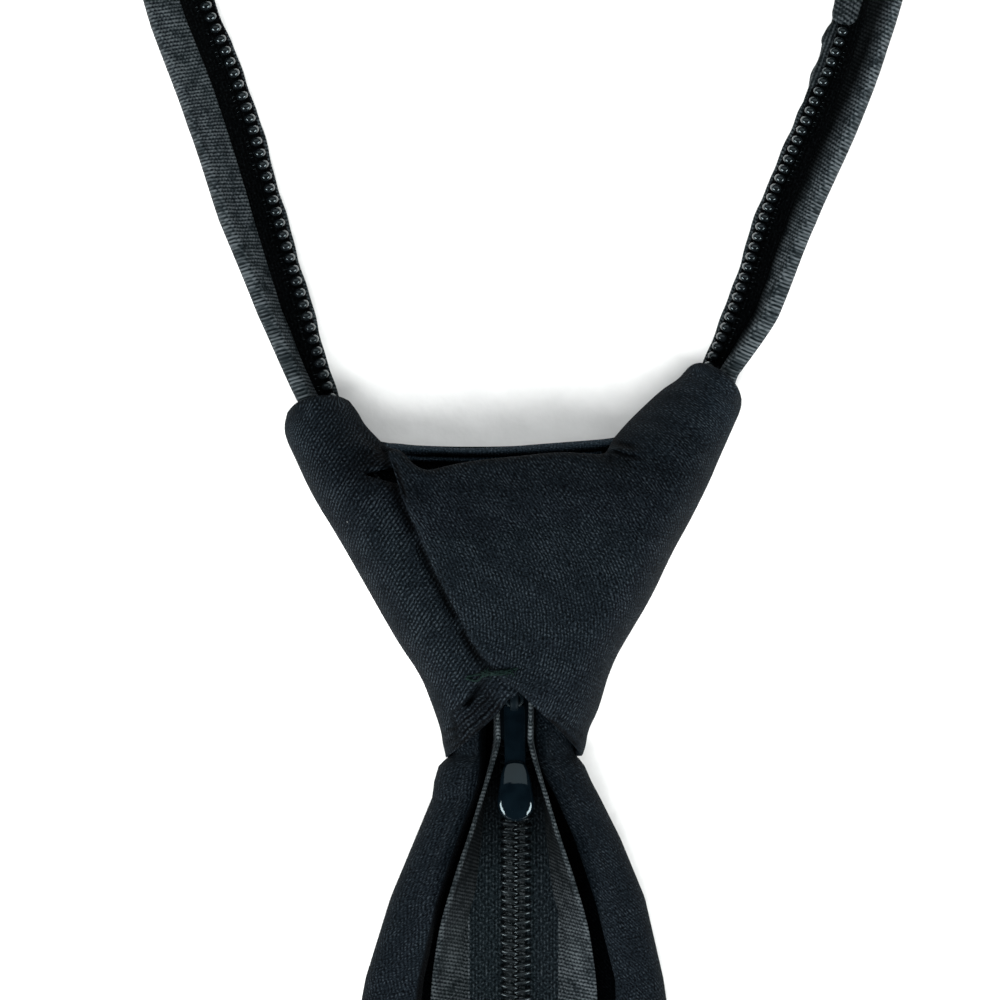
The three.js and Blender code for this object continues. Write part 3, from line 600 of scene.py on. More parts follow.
# The knot's outline in plan, left side from the lower tip up to the mouth of its shoulder, and on
# to the bar between the shoulders; then the right side likewise.
LEFT_SIDE = [
    (-9.2, -21.3), (-9.65, -19.6), (-9.9, -17.6), (-11.3, -13.6), (-12.7, -10.1), (-15.4, -6.2),
    (-17.5, -2.6), (-19.8, 1.5), (-23.6, 8.2), (-27.4, 14.3), (-29.6, 19.1), (-30.9, 21.8),
    (-31.2, 23.6), (-30.7, 25.5),
]
LEFT_MOUTH = [(-30.7, 25.5), (-29.3, 26.9), (-26.5, 27.7), (-23.9, 27.7), (-22.4, 27.0)]
LEFT_INNER = [(-22.4, 27.0), (-21.2, 25.5), (-20.3, 23.8), (-18.9, 22.3), (-17.9, 21.3)]
BAR_TOP = [(-17.9, 21.3), (-11.3, 20.8), (-1.9, 20.75), (6.2, 21.15), (13.5, 21.9)]
RIGHT_INNER = [
    (13.5, 21.9), (14.6, 23.2), (15.9, 24.6), (18.4, 27.0), (20.2, 28.6), (22.3, 29.9), (23.2, 31.0),
]
RIGHT_MOUTH = [(23.2, 31.0), (24.2, 32.0), (25.9, 32.1), (28.8, 30.6), (30.2, 28.8), (30.8, 27.4)]
RIGHT_SIDE = [
    (30.8, 27.4), (30.8, 25.9), (29.6, 23.3), (28.8, 21.5), (27.4, 18.4), (26.4, 16.0), (23.8, 10.8),
    (21.2, 6.2), (18.6, 0.5), (15.5, -4.7), (13.9, -7.4), (12.7, -10.3), (12.1, -12.4),
    (11.3, -15.1), (10.0, -17.6), (9.7, -19.8), (9.2, -21.1),
]

# The flap's folded edge, its V edge over the slider, and its upper edge along the slot.
FLAP_FOLD = [
    (-16.9, 19.9), (-16.3, 18.0), (-15.6, 15.9), (-14.7, 13.0), (-12.6, 8.5), (-11.1, 4.9),
    (-9.0, 0.8), (-6.9, -3.1), (-5.9, -5.4), (-4.6, -7.0), (-3.2, -8.6), (-2.2, -10.3),
]
FLAP_V = [(-2.2, -10.3), (0.7, -12.2), (2.4, -14.0), (4.5, -15.9), (7.3, -18.6), (9.2, -21.1)]
FLAP_TOP = [
    (13.5, 21.9), (12.9, 20.9), (12.2, 19.6), (10.3, 19.7), (6.2, 20.0), (0.8, 19.4), (-4.6, 18.9),
    (-8.6, 18.2), (-11.3, 17.45), (-12.5, 17.7), (-13.6, 18.4), (-14.6, 19.6), (-15.4, 20.25),
    (-16.2, 20.3), (-16.9, 19.9),
]

# The wrap's slit beside the bar, its edge hidden under the flap, and its lower edge.
WRAP_SLIT = [
    (-17.9, 21.3), (-16.9, 20.6), (-15.4, 20.2), (-14.2, 19.0), (-15.2, 18.2), (-17.0, 17.7),
    (-18.8, 17.3), (-20.2, 16.9), (-18.6, 16.5), (-17.0, 16.0), (-15.4, 15.6), (-13.0, 15.5),
]
WRAP_HIDDEN = [(-13.0, 15.5), (-9.6, 14.4), (-4.0, 2.4), (2.2, -8.6), (1.4, -12.0), (-0.9, -13.4)]
WRAP_LOWER = [(-0.9, -13.4), (-2.3, -15.4), (-4.2, -17.1), (-6.5, -19.2), (-9.2, -21.3)]

# The front's lower edge, under the blade.
FRONT_LOWER = [RIGHT_SIDE[-1], (4.0, -22.0), (-4.0, -22.0), LEFT_SIDE[0]]

# Small folds of the knot's cloth: how wide and how high each stands, how dark the painted shade in its valley
# is, and its line in plan.
FLAP_FOLDS = [
    (0.3, 0.5, 0, [(12.0, 20.6), (14.6, 20.0), (17.2, 19.6)]),
    (0.3, 0.45, 0, [(12.3, 19.7), (15.0, 18.9), (17.8, 18.6)]),
    (0.32, -0.7, 0.8, [(12.4, 20.2), (15.0, 19.5), (17.0, 19.1)]),
    (0.32, -0.6, 0.8, [(12.9, 21.3), (15.0, 20.9), (17.0, 20.6)]),
    (0.32, -0.4, 0.5, [(11.6, 19.4), (14.6, 18.4), (17.4, 17.9)]),
    (0.3, -0.5, 0.8, [(-16.2, 19.4), (-15.1, 15.6), (-14.1, 13.0)]),
    (1.3, -0.5, 0, [(-13.4, 17.0), (-12.4, 15.2), (-11.8, 13.0)]),
    (0.32, -0.4, 0.7, [(3.4, -16.4), (6.2, -19.0), (8.2, -21.0)]),
    (0.32, -0.5, 0.8, [(4.2, -15.4), (7.0, -17.9), (9.0, -20.2)]),
    (0.25, -0.4, 0.5, [(5.2, -14.9), (8.0, -17.2), (9.6, -19.0)]),
    (1.0, 0.25, 0, [(-1.0, -9.6), (3.0, -12.0), (6.0, -15.0)]),
    (1.6, -0.35, 0, [(22.0, 28.4), (25.2, 26.0), (29.4, 24.4)]),
    (1.6, 0.3, 0, [(16.0, 24.0), (20.0, 21.5), (26.0, 19.0)]),
]
WRAP_FOLDS = [
    (0.4, -1.9, 0.92, [(-4.0, -10.6), (-5.2, -12.4), (-6.6, -14.6)]),
    (0.3, -0.6, 0.8, [(-1.9, -12.6), (-4.0, -15.2), (-7.2, -17.9), (-9.4, -19.6)]),
    (0.3, -0.5, 0.75, [(-2.6, -12.0), (-4.8, -14.4), (-8.0, -17.1), (-9.8, -18.4)]),
    (0.3, -0.4, 0.6, [(-3.2, -11.2), (-5.2, -13.4), (-8.4, -16.0)]),
    (0.32, -0.5, 0.75, [(-1.4, -13.2), (-3.4, -16.0), (-6.4, -18.6), (-9.0, -20.6)]),
    (0.5, -0.9, 0.6, [(-24.0, 19.6), (-21.4, 18.0), (-18.6, 17.3)]),
    (0.35, -0.6, 0.6, [(-22.6, 19.9), (-20.4, 18.7), (-17.6, 18.2)]),
    (0.35, -0.5, 0.5, [(-21.6, 20.6), (-19.4, 19.5), (-17.2, 19.0)]),
    (0.4, -0.9, 0.85, [(-18.4, 20.9), (-17.5, 20.2), (-17.1, 18.6)]),
    (0.5, -0.4, 0.3, [(-20.6, 22.4), (-18.6, 20.8), (-17.4, 19.9)]),
    # The last three rows follow the flap's folded edge: their painted shade stands for the flap's shadow on
    # the wrap.
    (0.75, -0.4, 0.85, [(-17.4, 19.6), (-16.2, 15.7), (-15.2, 13.0), (-13.1, 8.5)]),
    (0.6, -0.4, 0.85, [(-13.1, 8.5), (-11.6, 4.9), (-9.5, 0.8), (-7.4, -3.1)]),
    (0.6, -0.4, 0.9, [(-7.4, -3.1), (-6.3, -5.4), (-5.1, -7.2), (-3.9, -8.8)]),
]
# A fold fades out over this length at its ends, down to the least share that it keeps there.
FOLD_FADE = 1.2
FOLD_LEAST = 0.15

# The knot's thickness as a share of its depth, up the body and over each shoulder.
DEEP_BODY = [
    (-21.2, 0.80), (-17.6, 0.82), (-13.6, 0.86), (-10.1, 0.89), (-6.2, 0.92), (-2.6, 0.95), (1.5, 0.98),
    (8.2, 1.0), (14.3, 0.95), (17.5, 0.89),
]
DEEP_LEFT = [(20.9, 0.80), (23.4, 0.70), (25.5, 0.63), (26.9, 0.57), (27.7, 0.53)]
DEEP_RIGHT = [(20.9, 0.82), (24.4, 0.73), (26.4, 0.69), (28.3, 0.64), (30.0, 0.59), (32.0, 0.53)]


def deep_at(y, side):
    """The share of the knot's depth at a height, on its left or right side."""
    return np.interp(y, *np.array(DEEP_BODY + (DEEP_LEFT if side < 0 else DEEP_RIGHT)).T)


def knot_back(p, flap):
    """The height of the knot's back at a place: the flap's, or the wrap's a step lower."""
    x, y = p.T
    full = KNOT_DEPTH if flap else KNOT_DEPTH - FLAP_STEP
    return full * deep_at(y, 1 if flap else -1)


# The width over which the left side's depth passes into the right side's.
MIDDLE_BLEND = 8


def knot_middle(p):
    """The height of the knot's sides, where its front and back meet."""
    x, y = p.T
    left = (KNOT_DEPTH - FLAP_STEP) * deep_at(y, -1)
    right = KNOT_DEPTH * deep_at(y, 1)
    share = np.clip(x / MIDDLE_BLEND + 0.5, 0, 1)
    return 0.5 * (left * (1 - share) + right * share)


def soft_swell(p, seed):
    """Slow unevenness of stuffed cloth: three waves of falling height and length."""
    x, y = p.T
    a, b, c, d = np.random.default_rng(seed).uniform(0, ROUND_ABOUT, 4)
    return SWELL * (
        0.5 * np.sin(x / 5.1 + y / 9.0 + a) * np.cos(y / 6.3 + b)
        + 0.3 * np.sin(x / 2.9 - y / 3.7 + c)
        + 0.2 * np.cos(y / 2.1 + x / 4.4 + d)
    )


def folded(p, folds):
    """The height that the small folds add at each place, and the painted shade in their valleys."""
    lift = np.zeros(len(p))
    tone = np.ones(len(p))
    for wide, high, valley_shade, line in folds:
        line = rounded(line)
        gap, _, along = nearest(p, line)
        length = np.hypot(*np.diff(line, axis=0).T).sum()
        ends = np.clip(np.minimum(along, length - along) / FOLD_FADE, FOLD_LEAST, 1)
        near = ends * np.exp(-((gap / wide) ** 2))
        lift += high * near
        tone *= 1 - valley_shade * near
    return lift, tone


# The shoulders are painted paler than the rest of the knot, a painted light: by how much, from where up, and
# over what length.
SHOULDER_LIGHT = 0.5
SHOULDER_START = 18.5
SHOULDER_FADE = 5
# The crown's fall towards the sides and how far it reaches, where swell and folds fade in from a
# side, how high the lowest cloth lies, and the painted shade on the cloth's inside.
CROWN_FALL = 0.7
CROWN_REACH = 5
SWELL_FROM = 3
FOLDS_FROM = 0.8
LIE = 0.02
KNOT_INSIDE_SHADE = 0.5


def knot_skin(name, ring, sides, hems, top, weave, folds, material):
    """One layer of the knot's cloth over a plan ring: rolled over at its sides down to where front
    and back meet, and rolled under at its hems. The front has no top of its own and lies on the
    ground."""
    depths = sorted(roll_depths(SIDE_ROLL, 11) + roll_depths(HEM_ROLL, 6))
    p, faces = plan_mesh(ring, FINE, depths)
    side_gap = np.full(len(p), np.inf)
    away = np.zeros((len(p), 2))
    for line in sides:
        gap, foot, _ = nearest(p, line)
        closer = gap < side_gap
        side_gap[closer] = gap[closer]
        way = foot - p
        size = np.maximum(np.hypot(*way.T), 1e-6)[:, None]
        away[closer] = (way / size)[closer]
    hem_gap = np.full(len(p), np.inf)
    for line in hems:
        hem_gap = np.minimum(hem_gap, nearest(p, line)[0])
    middle = knot_middle(p)
    rise = roll(side_gap, SIDE_ROLL)
    # Painted shade: the small folds darken their valleys.
    lift, tone = folded(p, folds)
    # Painted light: the shoulders are painted paler.
    tone *= 1 + SHOULDER_LIGHT * np.clip((p[:, 1] - SHOULDER_START) / SHOULDER_FADE, 0, 1)
    if top:
        crown = -CROWN_FALL * np.exp(-side_gap / CROWN_REACH)
        z = middle + (top(p) + crown - middle) * rise
        z -= HEM_ROLL * (1 - roll(hem_gap, HEM_ROLL))
        z += soft_swell(p, len(name)) * np.clip(side_gap / SWELL_FROM, 0, 1)
        z += lift * np.clip(side_gap / FOLDS_FROM, 0, 1)
    else:
        z = middle * (1 - rise) + HEM_ROLL * (1 - roll(hem_gap, HEM_ROLL))
        z = np.maximum(z, LIE)
    points = np.column_stack([p, z])
    stretch = unrolled(side_gap, SIDE_ROLL, KNOT_DEPTH / 2)
    flat = p + away * stretch[:, None]
    uv = weave(flat, nearest(p, sides[0])[0])
    facing_up = normals_of(points, faces)[:, 2].mean() > 0
    if facing_up != bool(top):
        faces = [f[::-1] for f in faces]
    points, faces, uv = thickened(points, faces, uv, CLOTH)
    # Painted shade: the cloth's inside is painted darker.
    tone = np.concatenate([tone, tone * KNOT_INSIDE_SHADE])
    return make_piece(name, points, faces, uv, material, tone=tone)


# How far the flap's ribs lean at each height up the knot: their slope's sideways share.
FLAP_LEAN = [(-22, -0.5), (-12, -0.4), (-2, 0.1), (8, 0.5), (18, 0.65), (26, 1.2), (34, 1.3)]
# The lowest and highest place that the ribs are worked out for, and their spread across the flap.
FLAP_REACH = (-40, 50)
FLAP_SPREAD = 0.89


def flap_weave(flat, depth):
    """The flap's ribs follow its right side below and lean the other way above."""
    x, y = flat.T
    rows = np.linspace(*FLAP_REACH, 400)
    lean = np.interp(rows, *np.array(FLAP_LEAN, float).T)
    shift = np.concatenate([[0], np.cumsum((lean[1:] + lean[:-1]) / 2 * np.diff(rows))])
    return np.column_stack([y, FLAP_SPREAD * x + np.interp(y, rows, shift)])


def plain_weave(flat, depth):
    """Threads straight up and across."""
    return flat


# The wrap's ribs: how steeply they climb, how far they bend at its outer edge and over what depth.
WRAP_CLIMB = 52
WRAP_BEND = 1.6
WRAP_BEND_DEPTH = 3
# The band beside its lower edge that follows that edge: its width, the ribs' pitch in it, where it
# starts, how far from the side it keeps, and its lowest place.
BAND_REACH = 4.4
BAND_PITCH = 0.9
BAND_START = (2.1, -9.4)
BAND_INSIDE = 2.0
BAND_LOWEST = -19.0


def wrap_weave(flat, depth):
    """The wrap's ribs climb to the right and stand steeper at its outer edge; a band of them lies
    along its lower edge."""
    x, y = flat.T
    climb = math.radians(WRAP_CLIMB)
    bend = WRAP_BEND * np.exp(-np.clip(depth, 0, None) / WRAP_BEND_DEPTH)
    uv = np.column_stack([
        x * math.cos(climb) + y * math.sin(climb),
        x * math.sin(climb) - y * math.cos(climb) - bend,
    ])
    gap, _, along = nearest(flat, rounded([BAND_START] + WRAP_LOWER))
    band = (gap < BAND_REACH) & (depth > BAND_INSIDE) & (y > BAND_LOWEST)
    uv[band] = np.column_stack([along, gap * BAND_PITCH])[band]
    return uv


def ring_of(*lines):
    """Lines that end where the next starts, as one ring."""
    return np.vstack([line[:-1] for line in lines])


def knot_pieces():
    left_side, left_inner, left_mouth = rounded(LEFT_SIDE), rounded(LEFT_INNER), rounded(LEFT_MOUTH)
    right_side, right_inner, right_mouth = rounded(RIGHT_SIDE), rounded(RIGHT_INNER), rounded(RIGHT_MOUTH)
    bar, bottom = rounded(BAR_TOP), rounded(FRONT_LOWER)
    fold, v_edge, top = rounded(FLAP_FOLD), rounded(FLAP_V), rounded(FLAP_TOP)
    slit, hidden, lower = rounded(WRAP_SLIT), rounded(WRAP_HIDDEN), rounded(WRAP_LOWER)
    flap = knot_skin(
        "knot_flap",
        ring_of(right_inner, right_mouth, right_side, v_edge[::-1], fold[::-1], top[::-1]),
        [right_side, right_inner],
        [fold, v_edge, top, right_mouth],
        lambda p: knot_back(p, True),
        flap_weave,
        FLAP_FOLDS,
        crepe("flap_crepe", 0, pitch=0.4, rib=0.5, light=0.66),
    )
    wrap = knot_skin(
        "knot_wrap",
        ring_of(left_side, left_mouth, left_inner, slit, hidden, lower),
        [left_side, left_inner],
        [slit, lower, left_mouth],
        lambda p: knot_back(p, False),
        wrap_weave,
        WRAP_FOLDS,
        crepe("wrap_crepe", 0, pitch=0.52, dash=0.6, rib=0.65, light=0.66),
    )
    front = knot_skin(
        "knot_front",
        ring_of(left_side, left_mouth, left_inner, bar, right_inner, right_mouth, right_side, bottom),
        [left_side, left_inner, right_inner, right_side],
        [bottom, left_mouth, right_mouth],
        None,
        plain_weave,
        [],
        crepe("front_crepe", -45),
    )
    return [flap, wrap, front]


# The two rolled edges between the shoulders: the front's upper edge and the fold under it. Half the
# width, how much that and the line wave, the middle's height, half the height, the cloth's width
# round it and how pale it is painted: a painted light on edges that lie in the slot's shade.
ROLL_COLUMNS = ("half", "swell", "sag", "middle", "tall", "around", "light")
EDGE_ROLL = (0.72, 0.1, 0.06, 3.6, 3.5, 9, 3.1)
LEDGE_ROLL = (0.42, 0, 0, 2.6, 2.4, 2 * math.pi, 6.0)
LEDGE_LINE = [(-18.6, 20.0), (-13, 19.1), (-6, 18.95), (4.0, 19.3), (12.0, 19.9)]
# How far the edge's middle lies inside the bar's outline, and its two ends under the shoulders.
EDGE_IN = 0.75
EDGE_ENDS = [(-19.5, 21.2), (15.5, 22.6)]


def edge_piece(name, line, roll_row, material):
    """A rolled edge along a plan line."""
    row = dict(zip(ROLL_COLUMNS, roll_row))
    line = resampled(line, FINE)
    turns = all_round(20)
    rings = []
    for x, y in line:
        middle = y + row["sag"] * math.sin(x / 3.1)
        wide = row["half"] + row["swell"] * math.sin(x / 5.3)
        across, up = middle + wide * np.cos(turns), row["middle"] + row["tall"] * np.sin(turns)
        rings.append(np.column_stack([np.full(20, x), across, up]))
    points, faces = skin(rings)
    around = np.tile(turns / (2 * math.pi) * row["around"], len(line))
    uv = np.column_stack([points[:, 0], around])
    # Painted light: the edge is painted paler than its place in the slot's shade.
    return make_piece(name, points, faces, uv, material, tone=row["light"])


def bar_pieces(material):
    bar_line = EDGE_ENDS[:1] + BAR_TOP + EDGE_ENDS[1:]
    edge_line = rounded([(x, y - EDGE_IN) for x, y in bar_line])
    return [
        edge_piece("front_edge", edge_line, EDGE_ROLL, material),
        edge_piece("front_edge_fold", LEDGE_LINE, LEDGE_ROLL, material),
    ]


# The blade's outline, its wings' inner edges and its lie: shares of its half width, down as a share
# of its length.
BLADE_COLUMNS = ("down", "left", "right", "wing_left", "wing_right", "deep", "lift")
BLADE_ROWS = np.array(
    [
        (-0.02, 0.205, 0.2, 0.092, 0.067, 0.88, 1),
        (-0.0005, 0.208, 0.205, 0.094, 0.07, 0.9, 1),
        (0.0008, 0.232, 0.222, 0.095, 0.073, 0.92, 1),
        (0.003, 0.256, 0.24, 0.097, 0.083, 0.95, 0.97),
        (0.0075, 0.271, 0.262, 0.103, 0.112, 1, 0.9),
        (0.0125, 0.278, 0.292, 0.12, 0.143, 1, 0.78),
        (0.025, 0.336, 0.362, 0.173, 0.204, 0.97, 0.45),
        (0.043, 0.42, 0.445, 0.24, 0.272, 0.9, 0.15),
        (0.0675, 0.505, 0.508, 0.305, 0.342, 0.82, 0),
        (0.1, 0.572, 0.562, 0.345, 0.355, 0.78, 0),
        (0.16, 0.64, 0.635, 0.352, 0.355, 0.74, 0),
        (0.21, 0.68, 0.68, 0.33, 0.33, 0.72, 0),
        (0.26, 0.715, 0.715, 0.2, 0.2, 0.7, 0),
        (0.3, 0.74, 0.74, 0.06, 0.06, 0.68, 0),
        (0.33, 0.757, 0.757, 0.006, 0.006, 0.66, 0),
        (0.6, 0.875, 0.875, 0.006, 0.006, 0.64, 0),
        (0.8, 0.955, 0.955, 0.006, 0.006, 0.62, 0),
        (0.905, 1, 1, 0.006, 0.006, 0.6, 0),
        (0.915, 0.975, 0.975, 0.006, 0.006, 0.6, 0),
        (0.994, 0.09, 0.09, 0.006, 0.006, 0.52, 0),
        (1, 0.06, 0.06, 0.006, 0.006, 0.48, 0),
    ]
)


# Its hem: the roll's radius, how far it stands out as a share of that, and how much the inner face
# is raised into it. Then the outer face's slow wave down the blade, and the painted shade on the inside.
HEM = 1.0
HEM_OUT = 0.9
HEM_RAISE = 0.2
BLADE_SWELL = 0.35
BLADE_WAVE = 0.2
BLADE_WAVES = 60
BLADE_INSIDE_SHADE = 0.15
# Where the blade's rings lie down it: from, to and how many.
BLADE_SPANS = [(-0.02, 0.02, 34), (0.022, 0.1, 44), (0.105, 0.36, 48), (0.37, 0.9, 50), (0.905, 1, 16)]


def blade_at(down):
    return row_at(BLADE_COLUMNS, BLADE_ROWS, BLADE_ROWS[:, 0], down)


def half_turn(x, z, wide, tall, start, steps):
    turns = np.linspace(start, start - math.pi, steps)
    return [(x + wide * math.cos(t), z + tall * math.sin(t)) for t in turns]


def mirrored(line):
    return [(-x, z) for x, z in line]


def blade_half(edge, wing, low, high, wave):
    """The right half of a section: its outer face, its inner face, and the hem's roll between them."""
    tall = (high - low) / 2
    deep = min(tall, max(edge - wing - 0.4, 0.3))
    shares = np.linspace(0, 1, 14)
    start = wing + HEM * HEM_OUT
    rows = [start + t * max(edge - deep - start, 0.1) for t in shares]
    side = edge - deep
    middle = low + tall
    outer = [(x, high + wave * math.sin(math.pi * t)) for x, t in zip(rows, shares)]
    outer += half_turn(side, middle, deep, tall, math.pi / 2, 18)[1:]
    inner = [(x, high - 2 * HEM + HEM_RAISE) for x in rows]
    inner += half_turn(side, middle, deep - BLADE_WALL * HEM_OUT, tall - BLADE_WALL, math.pi / 2, 18)[1:]
    turn = half_turn(wing + HEM_OUT * HEM, high - HEM, HEM_OUT * HEM, HEM, -math.pi / 2, 8)[1:-1]
    return outer, inner, turn


def blade_section(row, wave):
    """The cloth's two faces at one row, from the left wing's inner edge round the front to the right's."""
    low = row["lift"] * BLADE_LIFT
    high = low + BLADE_DEPTH * row["deep"]
    halves = [
        blade_half(row[side] * BLADE_HALF, row["wing_" + side] * BLADE_HALF, low, high, wave)
        for side in ("left", "right")
    ]
    (left_outer, left_inner, left_turn), (right_outer, right_inner, right_turn) = halves
    points = mirrored(left_outer) + right_outer[::-1] + right_turn[::-1]
    return points + right_inner + mirrored(left_inner[::-1]) + mirrored(left_turn)


def blade_piece(material):
    rings, lines, shades = [], [], []
    for down in np.concatenate([np.linspace(*part) for part in BLADE_SPANS]):
        y = TIP_Y - down * BLADE_LENGTH
        wave = BLADE_SWELL + BLADE_WAVE * math.sin(down * BLADE_WAVES)
        flat = np.array(blade_section(blade_at(down), wave))
        run = run_along(flat)
        level = np.full(len(flat), y)
        rings.append(np.column_stack([flat[:, 0], level, flat[:, 1]]))
        lines.append(np.column_stack([run - run[len(run) // 4], level]))
        seen = len(flat) // 2 + 3
        # Painted shade: the cloth's inside is painted darker than its outer face.
        shades += [1.0] * seen + [BLADE_INSIDE_SHADE] * (len(flat) - seen)
    points, faces = skin(rings)
    piece = make_piece("blade_cloth", points, faces, np.vstack(lines), material, tone=shades)
    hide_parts("blade")
    return piece


# The closed zipper below the slider.
TAIL_COLUMNS = ("down", "flat", "wide", "fold", "raise")
TAIL_ROWS = np.array(
    [
        (-0.12, 0.17, 0.74, 90, 1),
        (0, 0.18, 0.79, 95, 1),
        (0.03, 0.226, 0.85, 92, 0.5),
        (0.083, 0.33, 0.95, 88, 0.1),
        (0.151, 0.37, 1, 72, 0),
        (0.22, 0.44, 1, 54, 0),
        (0.284, 0.58, 1, 38, 0),
        (0.347, 0.6, 1, 20, 0),
        (0.423, 0.6, 1, 4, 0),
        (1, 0.6, 1, 0, 0),
    ]
)
# How thick the layers are there, as a share. Then half the gap between the chain's two sides, and
# how far they clear the blade.
TAIL_THIN = 0.22
CHAIN_GAP = 0.1
CHAIN_CLEAR = 0.3

# The step of the finest cords, in millimetres.
FINE_STEP = 0.25

# The inside edge of the neck loop, from the slider up the left side, round and down the right.
LOOP_COLUMNS = ("x", "y", "high", "flat", "wide", "fold", "tilt", "raise")


def in_knot(across, up):
    """A place in the knot from shares of its half width and length."""
    return across * KNOT_HALF, TIP_Y + up * KNOT_LENGTH


def in_loop(across, up):
    """A place in the neck loop from shares of its half width and reach."""
    return across * LOOP_HALF, KNOT_TOP + up * LOOP_REACH


LOOP_ROWS = np.array(
    [
        (*in_knot(-0.034, 0.29), 3.7, 0.36, 0.86, 92, 0, 1),
        (*in_knot(-0.14, 0.44), 4, 0.36, 0.85, 80, 0, 0.4),
        (*in_knot(-0.47, 0.78), 3.6, 0.3, 0.74, 76, 0, 0),
        (*in_knot(-0.7, 1.02), 2.6, 0.25, 0.66, 76, 0, 0),
        (*in_knot(-0.776, 1.165), 2.4, 0.25, 0.66, 76, 0, 0),
        (*in_loop(-0.53, 0.125), 1.6, 0.42, 0.86, 62, 0, 0),
        (*in_loop(-0.605, 0.211), 0.6, 0.45, 0.98, 36, 1, 0),
        (*in_loop(-0.679, 0.297), 0, 0.45, 1.03, 24, 3, 0),
        (*in_loop(-0.779, 0.383), 0, 0.42, 1.01, 14, 8, 0),
        (*in_loop(-0.83, 0.43), 0, 0.42, 0.95, 6, 12, 0),
        (*in_loop(-0.957, 0.58), 0, 0.5, 1, 0, 28, 0),
        (*in_loop(-0.985, 0.695), 0, 0.5, 1, 0, 42, 0),
        (*in_loop(-0.88, 0.835), 0, 0.5, 1, 0, 54, 0),
        (*in_loop(-0.574, 0.95), 0, 0.5, 1, 0, 62, 0),
        (*in_loop(0, 1), 0, 0.5, 1, 0, 64, 0),
        (*in_loop(0.593, 0.95), 0, 0.5, 1, 0, 62, 0),
        (*in_loop(0.909, 0.835), 0, 0.5, 1, 0, 54, 0),
        (*in_loop(1.014, 0.695), 0, 0.5, 1, 0, 42, 0),
        (*in_loop(0.985, 0.58), 0, 0.5, 1, 0, 28, 0),
        (*in_loop(0.885, 0.45), 0, 0.45, 1, 0, 14, 0),
        (*in_loop(0.823, 0.362), 0, 0.42, 0.9, 22, 4, 0),
        (*in_loop(0.754, 0.297), 0, 0.4, 0.9, 34, 1, 0),
        (*in_loop(0.643, 0.211), 0.5, 0.42, 0.9, 46, 0, 0),
        (*in_loop(0.557, 0.125), 1.6, 0.38, 0.84, 60, 0, 0),
        (*in_knot(0.829, 1.268), 2.4, 0.21, 0.66, 74, 0, 0),
        (*in_knot(0.72, 1.06), 2.6, 0.22, 0.67, 76, 0, 0),
        (*in_knot(0.46, 0.78), 3.6, 0.3, 0.74, 76, 0, 0),
        (*in_knot(0.14, 0.44), 4, 0.36, 0.85, 80, 0, 0.4),
        (*in_knot(0.034, 0.29), 3.7, 0.36, 0.86, 92, 0, 1),
    ]
)
LAST_ROW = len(LOOP_ROWS) - 1
UP = np.array((0, 0, 1.0))


def loop_curve(n):
    """The loop's inside edge at row n, on a centripetal curve through the rows, and its direction."""
    def point(at):
        k = int(min(max(math.floor(at), 0), LAST_ROW - 1))
        w = at - k
        knots = LOOP_ROWS[:, :2]
        p1, p2 = knots[k], knots[k + 1]
        p0 = knots[k - 1] if k > 0 else 2 * p1 - p2
        p3 = knots[k + 2] if k + 2 <= LAST_ROW else 2 * p2 - p1
        d1, d2, d3 = (np.hypot(*(q - p)) ** 0.5 for p, q in ((p0, p1), (p1, p2), (p2, p3)))
        t1 = ((p1 - p0) / d1 - (p2 - p0) / (d1 + d2) + (p2 - p1) / d2) * d2
        t2 = ((p2 - p1) / d2 - (p3 - p1) / (d2 + d3) + (p3 - p2) / d3) * d2
        a = 2 * p1 - 2 * p2 + t1 + t2
        b = -3 * p1 + 3 * p2 - 2 * t1 - t2
        return ((a * w + b) * w + t1) * w + p1

    step = 0.01
    ahead = point(min(n + step, LAST_ROW)) - point(max(n - step, 0))
    return point(n), ahead / np.hypot(*ahead)


def side_place(pick, point, across, up, row, size):
    """What a strip needs to know at one place, with the picked shares of size as millimetres."""
    return {
        "point": point,
        "across": across,
        "up": up,
        "flat": pick["flat"] * size,
        "wide": pick["wide"] * size,
        "fold": pick["fold"],
        "raise": pick["raise"] * PLATE_ROOM,
        "row": row,
    }


def loop_place(n):
    pick = row_at(LOOP_COLUMNS, LOOP_ROWS, np.arange(LAST_ROW + 1), n)
    point, along = loop_curve(n)
    tilt = math.radians(pick["tilt"])
    out = np.array((-along[1], along[0], 0))
    across = out * math.cos(tilt) + UP * math.sin(tilt)
    up = UP * math.cos(tilt) - out * math.sin(tilt)
    return side_place(pick, np.array((*point, pick["high"])), across, up, n, BAND_WIDTH)


def tail_place(down, side):
    """A place in the closed chain. Its row is below 0, by 1 more than the share that it is down."""
    pick = row_at(TAIL_COLUMNS, TAIL_ROWS, TAIL_ROWS[:, 0], down)
    y = TAIL_START - down * TAIL_LENGTH
    floor = blade_at((TIP_Y - y) / BLADE_LENGTH)["lift"] * BLADE_LIFT + BLADE_WALL + CHAIN_CLEAR
    point = np.array((side * CHAIN_GAP, y, floor))
    return side_place(pick, point, np.array((side, 0, 0.0)), UP, -1 - down, ZIP_HALF)


def bent(a, h, flat, degrees):
    """A point of the flat section, bent up with the tape's edge."""
    fold = math.radians(degrees)
    neutral = BEND_CENTRE - TAPE_LOW
    past = a - flat
    if past <= 0 or fold < 1e-3:
        return a, h
    turn = min(fold, past / neutral)
    on = max(0.0, past - fold * neutral)
    return (
        flat + (BEND_CENTRE - h) * math.sin(turn) + on * math.cos(turn),
        BEND_CENTRE - (BEND_CENTRE - h) * math.cos(turn) + on * math.sin(turn),
    )


